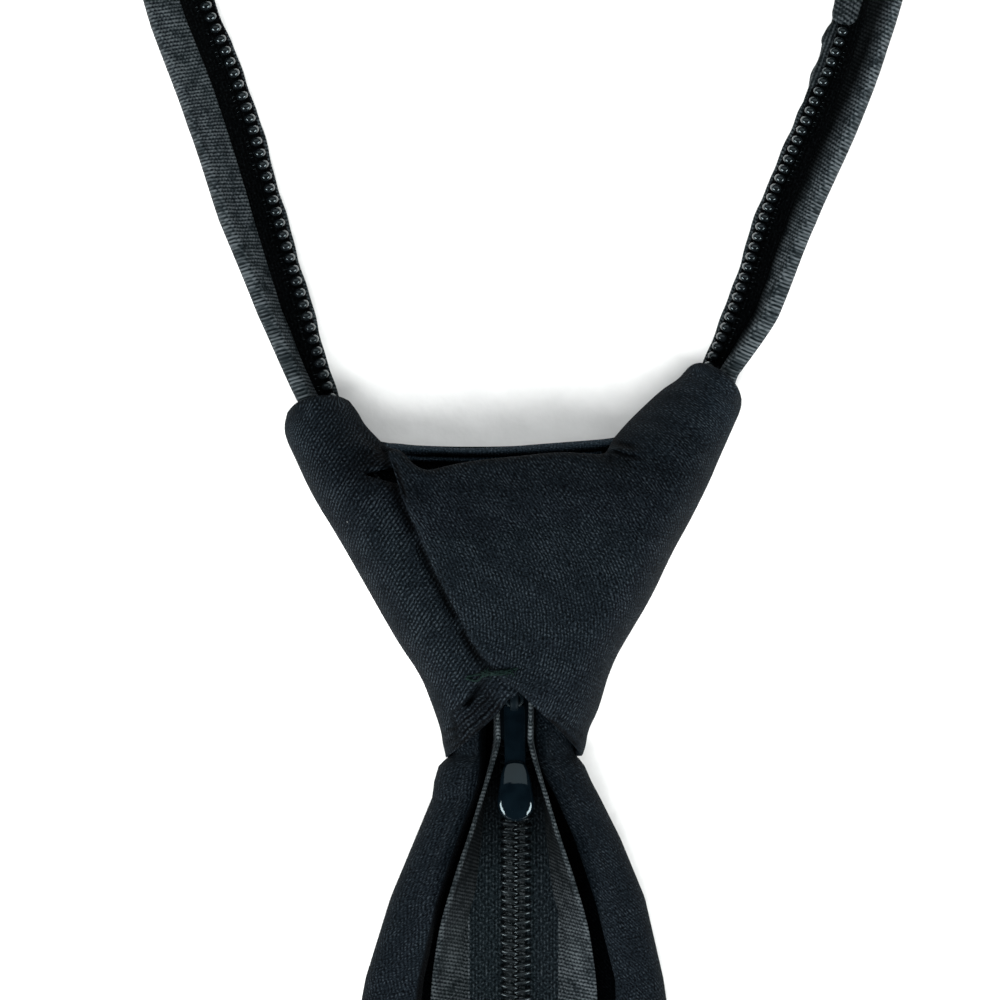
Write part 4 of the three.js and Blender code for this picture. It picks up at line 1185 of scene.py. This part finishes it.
def set_place(place, a, h):
    """The point a across and h up in a place's bent section."""
    if place["row"] < 0 and h < TAPE_HIGH:
        h = TAPE_HIGH - (TAPE_HIGH - h) * TAIL_THIN
    x, z = bent(a, h, place["flat"], place["fold"])
    return place["point"] + place["across"] * x + place["up"] * z


def even_rows(start, end, count, step):
    """Rows of the loop from start to end that lie step millimetres apart."""
    rows = np.linspace(start, end, count)
    run = run_along(np.array([loop_curve(n)[0] for n in rows]))
    return np.interp(np.arange(0, run[-1], step), run, rows)


def side_places(side, step):
    """Places from the tail's end through the slider and the knot to under the neckband, step apart."""
    tail = [tail_place(d, side) for d in np.linspace(1, -0.08, int(TAIL_LENGTH * 1.08 / step))]
    start = 0 if side < 0 else LAST_ROW
    end = LEFT_COIL_ENDS + UNDER_BAND if side < 0 else RIGHT_COIL_ENDS - UNDER_BAND
    rows = even_rows(start, end, int(60 * abs(end - start)), step)
    return tail + [loop_place(n) for n in rows]


def strip(name, places, profile, material):
    """A closed strip through places. profile gives the flat section at one place: each point's a and
    h, and its tone where the cloth is painted darker or lighter than the rest: painted shade and painted
    light."""
    rings, uv, shades = [], [], []
    run = 0.0
    before = places[0]["point"]
    for place in places:
        section = profile(place, run)
        run += float(np.linalg.norm(place["point"] - before))
        before = place["point"]
        rings.append(np.array([set_place(place, row[0], row[1]) for row in section]))
        uv += [(run, row[0]) for row in section]
        shades += [row[2] if len(row) > 2 else 1.0 for row in section]
    points, faces = skin(rings)
    return make_piece(name, points, faces, uv, material, tone=shades)


# Where the right ribbon's inside edge ruffles beside the neckband: how far up, how far out, how long.
RUFFLES = [(76.0, 0.25, 1.0), (71.6, 0.3, 1.3), (66.5, 0.2, 1.5)]


# The ribbon's turn round the tape's edge: its radius, how far the ribbon stands over the tape, and
# the painted shade on its inside. Then the ripple of its open face and how deep the right one sags.
RIBBON_TURN = 0.7
RIBBON_OVER = 0.12
RIBBON_INSIDE_SHADE = 0.3
RIBBON_RIPPLE = 0.12
RIBBON_SAG = 0.5
RIBBON_WALL = 0.5
# The height on the right strap from which the shade widens, the length until it is widest, and how
# much wider it is then, as a share of the face.
SHADE_UP = 55
SHADE_LENGTH = 20
SHADE_WIDER = 0.3
# Down the tail, how pale the ribbons are painted: a painted shade, darkest next to the slider. And each
# side's share of that: the left is painted darker than the right.
TAIL_SHADES = [(0, 0.05), (0.1, 0.08), (0.2, 0.3), (0.32, 0.75)]
TAIL_SIDE_SHADE = {-1: 0.62, 1: 1.08}
# Each side's painted shade in the fold beside the coil, on the strap, and its tone along the border.
FOLD_SHADE = {-1: 0.8, 1: 0.05}
BORDER_TONE = {-1: 0.7, 1: 0.95}
# The rows between which the straps are open, on each side.
LEFT_OPENS = 3
RIGHT_OPENS = 25


def open_share(place, side):
    """0 in the tail and the knot, and 1 on the open strap."""
    if place["row"] < 0:
        return 0.0
    past = place["row"] - LEFT_OPENS if side < 0 else RIGHT_OPENS - place["row"]
    return float(np.clip(past, 0, 1))


def ribbon_inner(place, run, side, opened):
    """The ribbon's edge inside the coil: a little uneven, with the ruffles of the right side."""
    inner = -opened * (0.08 + 0.10 * math.sin(run / 1.9) + 0.05 * math.sin(run / 0.8 + 1))
    if side > 0 and opened:
        for up, out, long in RUFFLES:
            inner -= out * math.exp(-(((place["point"][1] - up) / long) ** 2))
    return inner


def ribbon_shade(place, share_in, side, opened):
    """How pale the ribbon's face is painted: painted shade beside the tape, paler outward, and painted shade
    by height on the tail.
    """
    down = -1 - place["row"]
    fold = FOLD_SHADE[1] if side > 0 and opened else FOLD_SHADE[-1]
    border = BORDER_TONE[side]
    high = (place["point"][1] - SHADE_UP) / SHADE_LENGTH
    deep = SHADE_WIDER * float(np.clip(high, 0, 1)) if side > 0 else 0.0
    # Painted shade: dark in the fold beside the tape, paler outward.
    tone = fold + (1 - fold) * float(np.clip((share_in - 0.12 - deep) / 0.5, 0, 1)) ** 1.3
    tone *= border + (1 - border) * min(1.0, max(0.0, (1 - share_in) / 0.45))
    if down < 0:
        return tone
    # Painted shade down the tail, darkest beside the slider and darker on the left side.
    return tone * float(np.interp(down, *np.array(TAIL_SHADES).T)) * TAIL_SIDE_SHADE[side]


def ribbon_profile(side):
    """The ribbon round the tape's edge: under the tape from a thin strip inside the coil, round the
    outer edge, and back over the tape's border."""
    def profile(place, run):
        edge = place["wide"]
        start = max(edge - RIBBON_FACE * edge / ZIP_HALF, 0.4)
        opened = open_share(place, side)
        inner = ribbon_inner(place, run, side, opened)
        top = TAPE_HIGH + RIBBON_OVER
        # Painted shade in the fold, used on the lip below.
        fold = FOLD_SHADE[1] if side > 0 and opened else FOLD_SHADE[-1]
        turn_tone = BORDER_TONE[side] * (1.3 if place["row"] > -1 else 0.8)
        under = [(a, 0.0) for a in span(inner + 0.15, edge - RIBBON_TURN, 16)]
        turn = [
            (edge - RIBBON_TURN + RIBBON_TURN * math.sin(t), top / 2 - top / 2 * math.cos(t), turn_tone)
            for t in span(0.25, 2.9, 7)
        ]
        over = []
        for a in span(edge - RIBBON_TURN, start + 0.3, 18):
            share_in = (a - start) / (edge - start)
            sag = RIBBON_SAG * opened * (1 - min(1.0, share_in / 0.6)) ** 2 if side > 0 else 0.0
            ripple = RIBBON_RIPPLE * opened * math.sin(run / 3.1 + side) * math.sin(a * 2)
            over.append((a, top + ripple - sag, ribbon_shade(place, share_in, side, opened)))
        last = over[-1][1]
        # Painted shade: the lip takes the fold's shade, and the inside is painted darker.
        lip = [
            (start + 0.12, last - 0.02, fold),
            (start, last - 0.14, fold),
            (start + 0.05, last - 0.3, RIBBON_INSIDE_SHADE),
        ]
        back = [(a, last - RIBBON_WALL, RIBBON_INSIDE_SHADE) for a in span(start + 0.4, edge - 1.0, 5)]
        back += [(edge - 0.9, 1.2)]
        back += [(a, 0.55) for a in span(edge - 1.0, inner + 0.3, 14)]
        return under + turn + over + lip + back + [(inner + 0.1, 0.5), (inner, 0.25)]
    return profile


# The tape's thickness in the tail and on the straps, where it starts beside the coil, how far it
# reaches under the ribbon, and its painted shade outside the chain, where it lies in the groove under the
# ribbon.
TAPE_THICK = {"tail": 0.85, "strap": 0.68}
TAPE_START = {"tail": COIL_WIDTH - 0.5, "strap": 0.35}
TAPE_UNDER = 0.6
TAPE_SHADE = 0.12


def tape_profile(place, run):
    part = "tail" if place["row"] < 0 else "strap"
    end = place["wide"] - RIBBON_FACE * place["wide"] / ZIP_HALF + TAPE_UNDER
    low = TAPE_LOW + place["raise"]
    high = low + TAPE_THICK[part]
    # Painted shade: the tape is painted dark outside the chain, where it lies in the groove under the ribbon.
    tone = float(np.clip((-1.05 - place["row"]) / 0.15, TAPE_SHADE, 1))
    line = span(TAPE_START[part], end, 16)
    wavy = [(a, high + 0.05 * math.sin(run / 1.3 + a * 2), tone) for a in line]
    return [(a, low, tone) for a in line] + wavy[::-1]


def zipper_sides(satin_left, satin_right, tape_mat, ruffle):
    made = []
    for side, word, cloth in ((-1, "left", satin_left), (1, "right", satin_right)):
        places = side_places(side, STRIP_STEP)
        ribbon = strip("ribbon_cloth_" + word, places, ribbon_profile(side), cloth)
        tape = strip("tape_cloth_" + word, places, tape_profile, tape_mat)
        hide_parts("ribbon_" + word)
        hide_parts("tape_" + word)
        made += [ribbon, tape]
    return made


# The coil
# A coil head's half sizes, its first turn from its pole as a share of a half turn, and its level
# over the coil's middle.
BEAD = {"across": 0.8, "along": 0.68, "tall": 0.9}
BEAD_POLE = 0.04
BEAD_LEVEL = 0.2
# The points of a head's leg: in from the head's middle, up from it, and off the head's own line.
LEG = [(0.3, -0.3, 0.2), (0.9, -0.62, 0.26), (1.25, -0.4, 0.3), (1.42, -0.7, 0.3)]
LEG_RADIUS = 0.09
HEAD_ROUGH = 0.13
CHAIN_ROUGH = 0.27
# The rows inside the knot that the open coil skips, and how far it reaches under the band's left end.
OPEN_SKIPS = 3.2
OPEN_TUCK = 0.1
# The closed chain's spring: the steps of a turn, its wire, and its middle and half sizes.
SPRING_STEPS = 18
SPRING_RADIUS = 0.24
SPRING = {"start": 0.4, "middle": 0.72, "apart": 0.25, "wide": 1.12, "over": 0.1, "tall": 0.62}


def bead(place, centre, rows=8, sides=14):
    """One coil head: a glossy dome, with its two legs running down into the tape."""
    level = TAPE_LOW + COIL_HIGH / 2 + BEAD_LEVEL
    rings = []
    for k in range(rows + 1):
        t = math.pi * (BEAD_POLE + (1 - 2 * BEAD_POLE) * k / rows)
        size = math.sin(t)
        a = centre - BEAD["across"] * math.cos(t)
        ring = []
        for turn in all_round(sides):
            base = set_place(place, a, level + BEAD["tall"] * size * math.sin(turn))
            ring.append(base + place["along"] * BEAD["along"] * size * math.cos(turn))
        rings.append(ring)
    parts = [skin(rings)]
    for way in (-1, 1):
        leg = [set_place(place, centre + a, level + h) + place["along"] * off * way for a, h, off in LEG]
        parts.append(tube(rounded(leg, times=1), LEG_RADIUS, 6))
    return parts


def open_coil(side):
    """Coil heads along one open side, from inside the knot to the neckband. They lie further out the
    nearer they are to the band, and most of all over the last part."""
    start = OPEN_SKIPS if side < 0 else LAST_ROW - OPEN_SKIPS
    end = LEFT_COIL_ENDS + OPEN_TUCK if side < 0 else RIGHT_COIL_ENDS
    rows = even_rows(start, end, 900, OPEN_PITCH[side])
    parts = []
    for k, n in enumerate(rows):
        place = loop_place(n)
        place["along"] = np.array((*loop_curve(n)[1], 0))
        share = k / len(rows)
        parts += bead(place, 0.9 + 0.5 * share + 0.6 * max(0.0, share - 0.78) / 0.22)
    return parts


def closed_coil(side):
    """One side of the closed chain: a spring of nylon whose turns lie between the other side's."""
    turns = TAIL_LENGTH / CLOSED_PITCH - 1
    start = SPRING["start"] + (CLOSED_PITCH / 2 if side > 0 else 0)
    path = []
    for k in range(int(turns * SPRING_STEPS)):
        t = k / SPRING_STEPS
        place = tail_place(min((t * CLOSED_PITCH + start) / TAIL_LENGTH, 1), side)
        angle = 2 * math.pi * t
        a = SPRING["middle"] + SPRING["apart"] * side + SPRING["wide"] * math.cos(angle)
        level = TAPE_LOW + place["raise"] + COIL_HIGH / 2 + SPRING["over"]
        h = level + SPRING["tall"] * math.sin(angle)
        path.append(place["point"] + place["across"] * a + place["up"] * h)
    return tube(path, SPRING_RADIUS, 7)


def coil_pieces(material):
    made = []
    for side, word in ((-1, "left"), (1, "right")):
        heads = open_coil(side)
        parts = heads + [closed_coil(side)]
        points, faces = joined(parts)
        rough = tones(parts, [HEAD_ROUGH] * len(heads) + [CHAIN_ROUGH])
        piece = make_piece("coil_nylon_" + word, points, faces, points[:, :2], material, tone=rough)
        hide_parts("coil_" + word)
        made.append(piece)
    return made


# The neckband
# A lip's rows and points round, how square its section is, how far its underside floats, its wave,
# and how its ends round off: their least size, and how many rows they take.
LIP_ROWS = 340
LIP_ROUND = 22
LIP_SQUARE = 0.72
LIP_FLOAT = 0.05
LIP_WAVE = 0.1
LIP_WAVE_LONG = 4.1
LIP_LEAST = 0.12
LIP_END = 1 / 14
# Half the groove between the lips, and how much wider it is at the band's two ends.
GROOVE = 0.2
GROOVE_WIDER = 0.9
# How high the inner lip arches over the last coil heads, over how many rows, and how far it reaches
# inside the loop's line.
ARCH_HIGH = 1.3
ARCH_ROWS = 0.12
ARCH_IN = 0.15
BASE_IN = 0.6
BASE_THICK = 1.2


def lip(start, end, edges, high, ends):
    """A rounded body of the band from row start to row end between its edges, and its weave's places."""
    run, rings, uv = 0.0, [], []
    before = loop_place(start)["point"]
    for n in np.linspace(start, end, LIP_ROWS):
        place = loop_place(n)
        run += float(np.linalg.norm(place["point"] - before))
        before = place["point"]
        close = min(1.0, min(n - start, end - n) / LIP_END / ends)
        grow = max(LIP_LEAST, math.sqrt(1 - (1 - close) ** 2))
        near, far = edges(place, n)
        middle, half = (near + far) / 2, (far - near) / 2 * grow
        tall = (high(n) + LIP_WAVE * math.sin(run / LIP_WAVE_LONG)) / 2 * grow
        ring = []
        for turn in all_round(LIP_ROUND):
            c, s = math.cos(turn), math.sin(turn)
            a = middle + half * math.copysign(abs(c) ** LIP_SQUARE, c)
            h = tall + LIP_FLOAT + tall * math.copysign(abs(s) ** LIP_SQUARE, s)
            ring.append(set_place(place, a, h))
            uv.append((run, a))
        rings.append(ring)
    return skin(rings), uv


def neckband_piece(material):
    """The band behind the neck: a base and two rounded lips whose edges meet over it in a groove.
    The inner lip starts as an arch over the last coil heads."""
    first, last = LEFT_COIL_ENDS, RIGHT_COIL_ENDS

    def groove(n):
        return GROOVE + GROOVE_WIDER * abs((n - (first + last) / 2) / ((last - first) / 2)) ** 10

    def arch(n):
        return BAND_THICK + ARCH_HIGH * math.exp(-((min(n - first, last - n) / ARCH_ROWS) ** 2))

    def inner(place, n):
        return -ARCH_IN, place["wide"] / 2 - groove(n)

    def outer(place, n):
        return place["wide"] / 2 + groove(n), place["wide"]

    def base(place, n):
        return BASE_IN, place["wide"] - BASE_IN

    lips = [
        lip(first - 0.02, last - 0.04, inner, arch, 2.0),
        lip(first + 0.9, last - 0.9, outer, lambda n: BAND_THICK, 6.0),
        lip(first + 0.4, last - 0.4, base, lambda n: BASE_THICK, 2.0),
    ]
    points, faces = joined([part for part, _ in lips])
    piece = make_piece("neckband_cloth", points, faces, np.vstack([uv for _, uv in lips]), material)
    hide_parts("neckband")
    return piece


# The gathered edge of the ribbon beside the right mouth of the neckband: places and half widths.
RUFFLE = [
    (43.9, 78.6, 0.5), (43.3, 77.4, 0.8), (42.7, 76.0, 0.95), (42.7, 74.9, 0.6), (42.1, 73.4, 0.65),
    (41.5, 71.6, 0.85), (40.7, 69.9, 0.5), (39.9, 68.2, 0.35), (39.2, 66.4, 0.2),
]
RUFFLE_HIGH = 1.35
RUFFLE_FLAT = 0.9


def ruffle_piece(material):
    x, y, half = resampled(RUFFLE, FINE_STEP).T
    points, faces = tube(np.column_stack([x, y, RUFFLE_HIGH + half / 2]), half, 18, RUFFLE_FLAT)
    return make_piece("ribbon_ruffle", points, outward(points, faces), points[:, :2], material)


# The slider and its pull
SLIDER_ROUGH = 0.5
# The slider's plates: their thickness, how round their edges are, and the step of their mesh.
PLATE_THICK = 0.8
PLATE_ROUND = 0.35
PLATE_STEP = 0.18
# The wedge between them: its plan and how far it reaches into each.
WEDGE = [(-0.5, -0.2), (0.5, -0.2), (0.45, -2.6), (-0.45, -2.6)]
WEDGE_IN = 0.5
# The bridge's half width and half thickness, and its line over the slider's face.
BRIDGE_HALF = 0.6
BRIDGE_THIN = 0.28
BRIDGE = [
    (SLIDER_TOP - 0.9, -0.3), (SLIDER_TOP - 1.1, 1.4), (SLIDER_TOP - 1.8, 2.1), (PIN_Y - 0.2, 2.15),
    (PIN_Y - 1.2, 1.8), (PIN_Y - 1.75, 0.9), (PIN_Y - 1.8, -0.3),
]


def pillow(ring, low, high, radius, spacing=PLATE_STEP):
    """A closed plate over a plan ring with rounded edges."""
    depths = roll_depths(radius, 6)
    p, faces = plan_mesh(ring, spacing, depths)
    gap, _, _ = nearest(p, resampled(ring, spacing, closed=True), closed=True)
    rise = roll(gap, radius)
    middle = (low + high) / 2
    over = np.column_stack([p, middle + (high - middle) * rise])
    under = np.column_stack([p, middle - (middle - low) * rise])
    count = len(p)
    rim = {i for edge in rim_of(faces) for i in edge}
    lower = [[i if i in rim else i + count for i in f[::-1]] for f in faces]
    points = np.vstack([over, under])
    return points, outward(points, faces + lower)


def bridge():
    """The slider's bridge, which holds the pull's pin."""
    line = rounded([(y, SLIDER_FACE + z) for y, z in BRIDGE])
    rings = []
    for k, (y, z) in enumerate(line):
        way = line[min(k + 1, len(line) - 1)] - line[max(k - 1, 0)]
        ahead, rise = way / np.linalg.norm(way) * BRIDGE_THIN
        rings.append(
            [
                (BRIDGE_HALF * math.cos(t), y + rise * math.sin(t), z - ahead * math.sin(t))
                for t in all_round(12)
            ]
        )
    return skin(rings)


def slider_piece(material):
    """Two rounded plates over and under the chain with the wedge between them, and the bridge."""
    half = [(2.3, SLIDER_END), (2.4, SLIDER_END + 3.8), (3.0, SLIDER_TOP - 1.4), (2.1, SLIDER_TOP)]
    other = [(-x, y) for x, y in reversed(half)]
    ring = rounded(other[-1:] + half + other[:-1], closed=True)
    wedge = rounded([(x, SLIDER_TOP + y) for x, y in WEDGE], closed=True, times=1)
    parts = [
        pillow(ring, SLIDER_FLOOR, SLIDER_FLOOR + PLATE_THICK, PLATE_ROUND),
        pillow(ring, SLIDER_FACE - PLATE_THICK, SLIDER_FACE, PLATE_ROUND),
        pillow(wedge, SLIDER_FLOOR + WEDGE_IN, SLIDER_FACE - WEDGE_IN, 0.15, 0.25),
        bridge(),
    ]
    points, faces = joined(parts)
    piece = make_piece("slider_body", points, faces, points[:, :2], material, tone=SLIDER_ROUGH)
    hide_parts("slider")
    return piece


# The pull's neck: half width and half thickness down its length from the pin. Then the drop: the
# same down from the drop's top, and how far its crown stands over the neck's line.
NECK_ROWS = [
    (1.0, 1.35, 0.34), (1.5, 1.45, 0.38), (2.5, 1.5, 0.4), (4.5, 1.5, 0.42), (6.5, 1.46, 0.44),
    (8.6, 1.45, 0.46), (9.4, 1.5, 0.5),
]
DROP_ROWS = [
    (0.0, 0.3, 0.12), (0.12, 0.85, 0.32), (0.45, 1.35, 0.54), (1.0, 1.66, 0.76), (1.9, 1.95, 1.0),
    (3.1, 2.16, 1.19), (4.4, 2.36, 1.28), (5.4, 2.47, 1.27), (6.1, 2.46, 1.2), (6.8, 2.26, 1.05),
    (7.4, 1.86, 0.84), (7.8, 1.36, 0.6), (8.08, 0.75, 0.34), (8.16, 0.3, 0.16),
]
DROP_TOP = 8.5
PULL_ROUGH = 0.02
# The pull's slope in degrees, how far it leans to the side a millimetre, and the steps of its bodies.
PULL_SLOPE = 4
PULL_LEAN = 0.016
PULL_STEPS = 46
# The eye round the pin: its half width, half length, wire, and its middle down from the pin.
EYE = {"wide": 1.05, "long": 0.95, "wire": 0.34, "down": 0.15}


def loft(rows, start, lift, sides, square):
    """A closed body along the pull: an oval at each row, on the pull's own slope."""
    table = np.array(rows)
    run = run_along(table)
    even = np.linspace(0, run[-1], PULL_STEPS)
    slope = math.tan(math.radians(PULL_SLOPE))
    c, s = np.cos(all_round(sides)), np.sin(all_round(sides))
    rings = []
    for down, wide, tall in zip(*(np.interp(even, run, column) for column in table.T)):
        x = (start + down) * PULL_LEAN + wide * np.sign(c) * np.abs(c) ** square
        z = PIN_HIGH - (start + down) * slope + lift + tall * np.sign(s) * np.abs(s) ** square
        rings.append(np.column_stack([x, np.full(sides, PIN_Y - start - down), z]))
    return skin(rings)


def pull_piece(material):
    """The pull: an eye round the pin, a flat neck, and a domed drop at its end."""
    middle = PIN_Y - EYE["down"]
    turns = span(0, 2 * math.pi, 36)
    eye = [(EYE["wide"] * math.sin(t), middle + EYE["long"] * math.cos(t), PIN_HIGH) for t in turns]
    parts = [
        loft(NECK_ROWS, 0, -0.1, 28, 0.55),
        loft(DROP_ROWS, DROP_TOP, 0.35, 48, 0.72),
        tube(eye, EYE["wire"], 8),
    ]
    points, faces = joined(parts)
    rough = tones(parts, [PULL_ROUGH, PULL_ROUGH, SLIDER_ROUGH])
    piece = make_piece("pull_drop", points, faces, points[:, :2], material, "pull", rough)
    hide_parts("pull_tab")
    return piece


# The tack's strands in plan, how high the cloth under them lies, and their radius.
STRANDS = [
    [(-7.2, -10.4), (-5.6, -10.0), (-3.9, -9.7), (-2.2, -9.4), (-0.6, -9.2), (0.5, -9.0)],
    [(-7.1, -10.3), (-6.0, -10.5), (-4.9, -10.9), (-4.2, -9.9), (-3.0, -9.6), (-1.0, -9.5)],
    [(-4.4, -9.5), (-3.2, -9.9), (-2.0, -9.6), (-1.0, -9.3), (-0.2, -9.3)],
    [(-4.0, -10.1), (-2.9, -9.5), (-1.9, -9.9), (-0.8, -9.5)],
    [(-3.8, -9.3), (-2.6, -9.7), (-1.6, -9.2), (-0.4, -9.6)],
]
FLAP_FACE = KNOT_DEPTH * 0.88 + 0.1
STRAND_HEIGHTS = [(-7.2, 13.1), (-5.0, 13.6), (-3.6, 14.9), (-2.6, FLAP_FACE + 0.35), (0.5, FLAP_FACE)]
STRAND_RADIUS = 0.16
STRAND_OVER = 0.12
STRAND_WAVE = 0.08
# The loose hairs on it: how many, their radius, and how high the cloth under them lies.
HAIRS = 34
HAIR_RADIUS = 0.05
HAIR_HEIGHTS = [(-3.8, 14.9), (-2.6, FLAP_FACE + 0.4), (0.2, FLAP_FACE + 0.2)]


def hair_line(draw):
    """A loose hair's three points: it rises from the strands and drops at its end."""
    x = draw.uniform(-3.8, 0.2)
    y = -9.55 + draw.normal(0, 0.25) + 0.1 * x / 3
    z = float(np.interp(x, *np.array(HAIR_HEIGHTS).T))
    turn = draw.uniform(0, 6.28)
    reach = draw.uniform(0.3, 0.8)
    across, up = reach * math.cos(turn), reach * math.sin(turn)
    return [(x, y, z), (x + across / 2, y + up / 2, z + 0.25), (x + across, y + up, z + 0.1)]


def tack_piece(material):
    """The bar tack that holds the flap to the wrap: a few twisted strands over the fold."""
    parts = []
    for n, strand in enumerate(STRANDS):
        line = resampled(rounded(strand), FINE_STEP)
        height = np.interp(line[:, 0], *np.array(STRAND_HEIGHTS).T)
        height += STRAND_WAVE * np.sin(line[:, 0] * 5 + n) + STRAND_OVER * (n > 1)
        parts.append(tube(np.column_stack([line, height]), STRAND_RADIUS, 6))
    draw = np.random.default_rng(11)
    for _ in range(HAIRS):
        parts.append(tube(rounded(hair_line(draw), times=1), HAIR_RADIUS, 4))
    points, faces = joined(parts)
    return make_piece("tack_thread", points, faces, points[:, :2], material)


# The stage, in metres
FLOOR_SIZE = 8
FLOOR_BELOW = 0.0002
LIT_PLACE = (0, 0.02, 0)
# Each light's name, place, width and height, and power in watts. All aim at the lit place.
LIGHTS = [
    ("window_left", (-1.0, -0.75, 0.45), (0.95, 0.5), 24),
    ("window_right", (1.0, -0.75, 0.45), (0.95, 0.5), 24),
    ("back", (0.0, 0.7, 1.2), (3.6, 1.4), 13),
    ("key", (-0.25, -0.85, 1.2), (1.2, 0.8), 35),
]
ROOM_COLOUR = (0.96, 0.985, 1.0, 1)
ROOM_STRENGTH = 0.48


def floor():
    bpy.ops.mesh.primitive_plane_add(size=FLOOR_SIZE, location=(0, 0, -FLOOR_BELOW))
    plane = bpy.context.object
    plane.name = "floor"
    plane.data.materials.append(paper())


def area_light(name, place, size, power):
    data = bpy.data.lights.new(name, "AREA")
    data.shape = "RECTANGLE"
    data.size, data.size_y = size
    data.energy = power
    lamp = bpy.data.objects.new(name, data)
    lamp.location = place
    lamp.rotation_euler = (Vector(LIT_PLACE) - Vector(place)).to_track_quat("-Z", "Y").to_euler()
    lamp.visible_camera = False
    bpy.context.scene.collection.objects.link(lamp)
    return lamp


def lights():
    """Two windows, the back light and the key, which gives no reflection, in a pale room."""
    lamps = [area_light(*row) for row in LIGHTS]
    lamps[-1].visible_glossy = False
    world = bpy.data.worlds.new("studio")
    world.use_nodes = True
    background = world.node_tree.nodes["Background"]
    background.inputs["Color"].default_value = ROOM_COLOUR
    background.inputs["Strength"].default_value = ROOM_STRENGTH
    world.cycles_visibility.glossy = False
    bpy.context.scene.world = world
    bpy.context.scene.view_settings.view_transform = "Standard"


def camera():
    data = bpy.data.cameras.new("camera")
    data.sensor_width = SENSOR
    data.lens = SENSOR * CAMERA_HIGH / VIEW_WIDTH
    data.clip_start = 0.01
    eye = bpy.data.objects.new("camera", data)
    eye.location = (VIEW_CENTRE[0] * MM, VIEW_CENTRE[1] * MM, (CAMERA_HIGH + VIEW_LEVEL) * MM)
    bpy.context.scene.collection.objects.link(eye)
    bpy.context.scene.camera = eye


camera()
lights()
floor()

knot_layers = knot_pieces()
bar_layers = bar_pieces(crepe("edge_crepe", 90, rib=0.2))
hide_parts("knot")
blade_piece(crepe("blade_crepe", 50, pitch=0.4, rib=0.4, light=0.64))
zipper_sides(
    satin("satin_left", 80, light=0.95),
    satin("satin_right", 100, light=0.92),
    knit("tape_knit"),
    ruffle_piece(satin("satin_ruffle", 70, light=0.55)),
)
coil_pieces(nylon())
neckband_piece(satin("satin_band", 70, pitch=0.6, light=0.65))
slider_piece(enamel("slider_enamel", 0.08))
pull_piece(enamel("pull_enamel", 0.5))
tack_piece(green_thread())
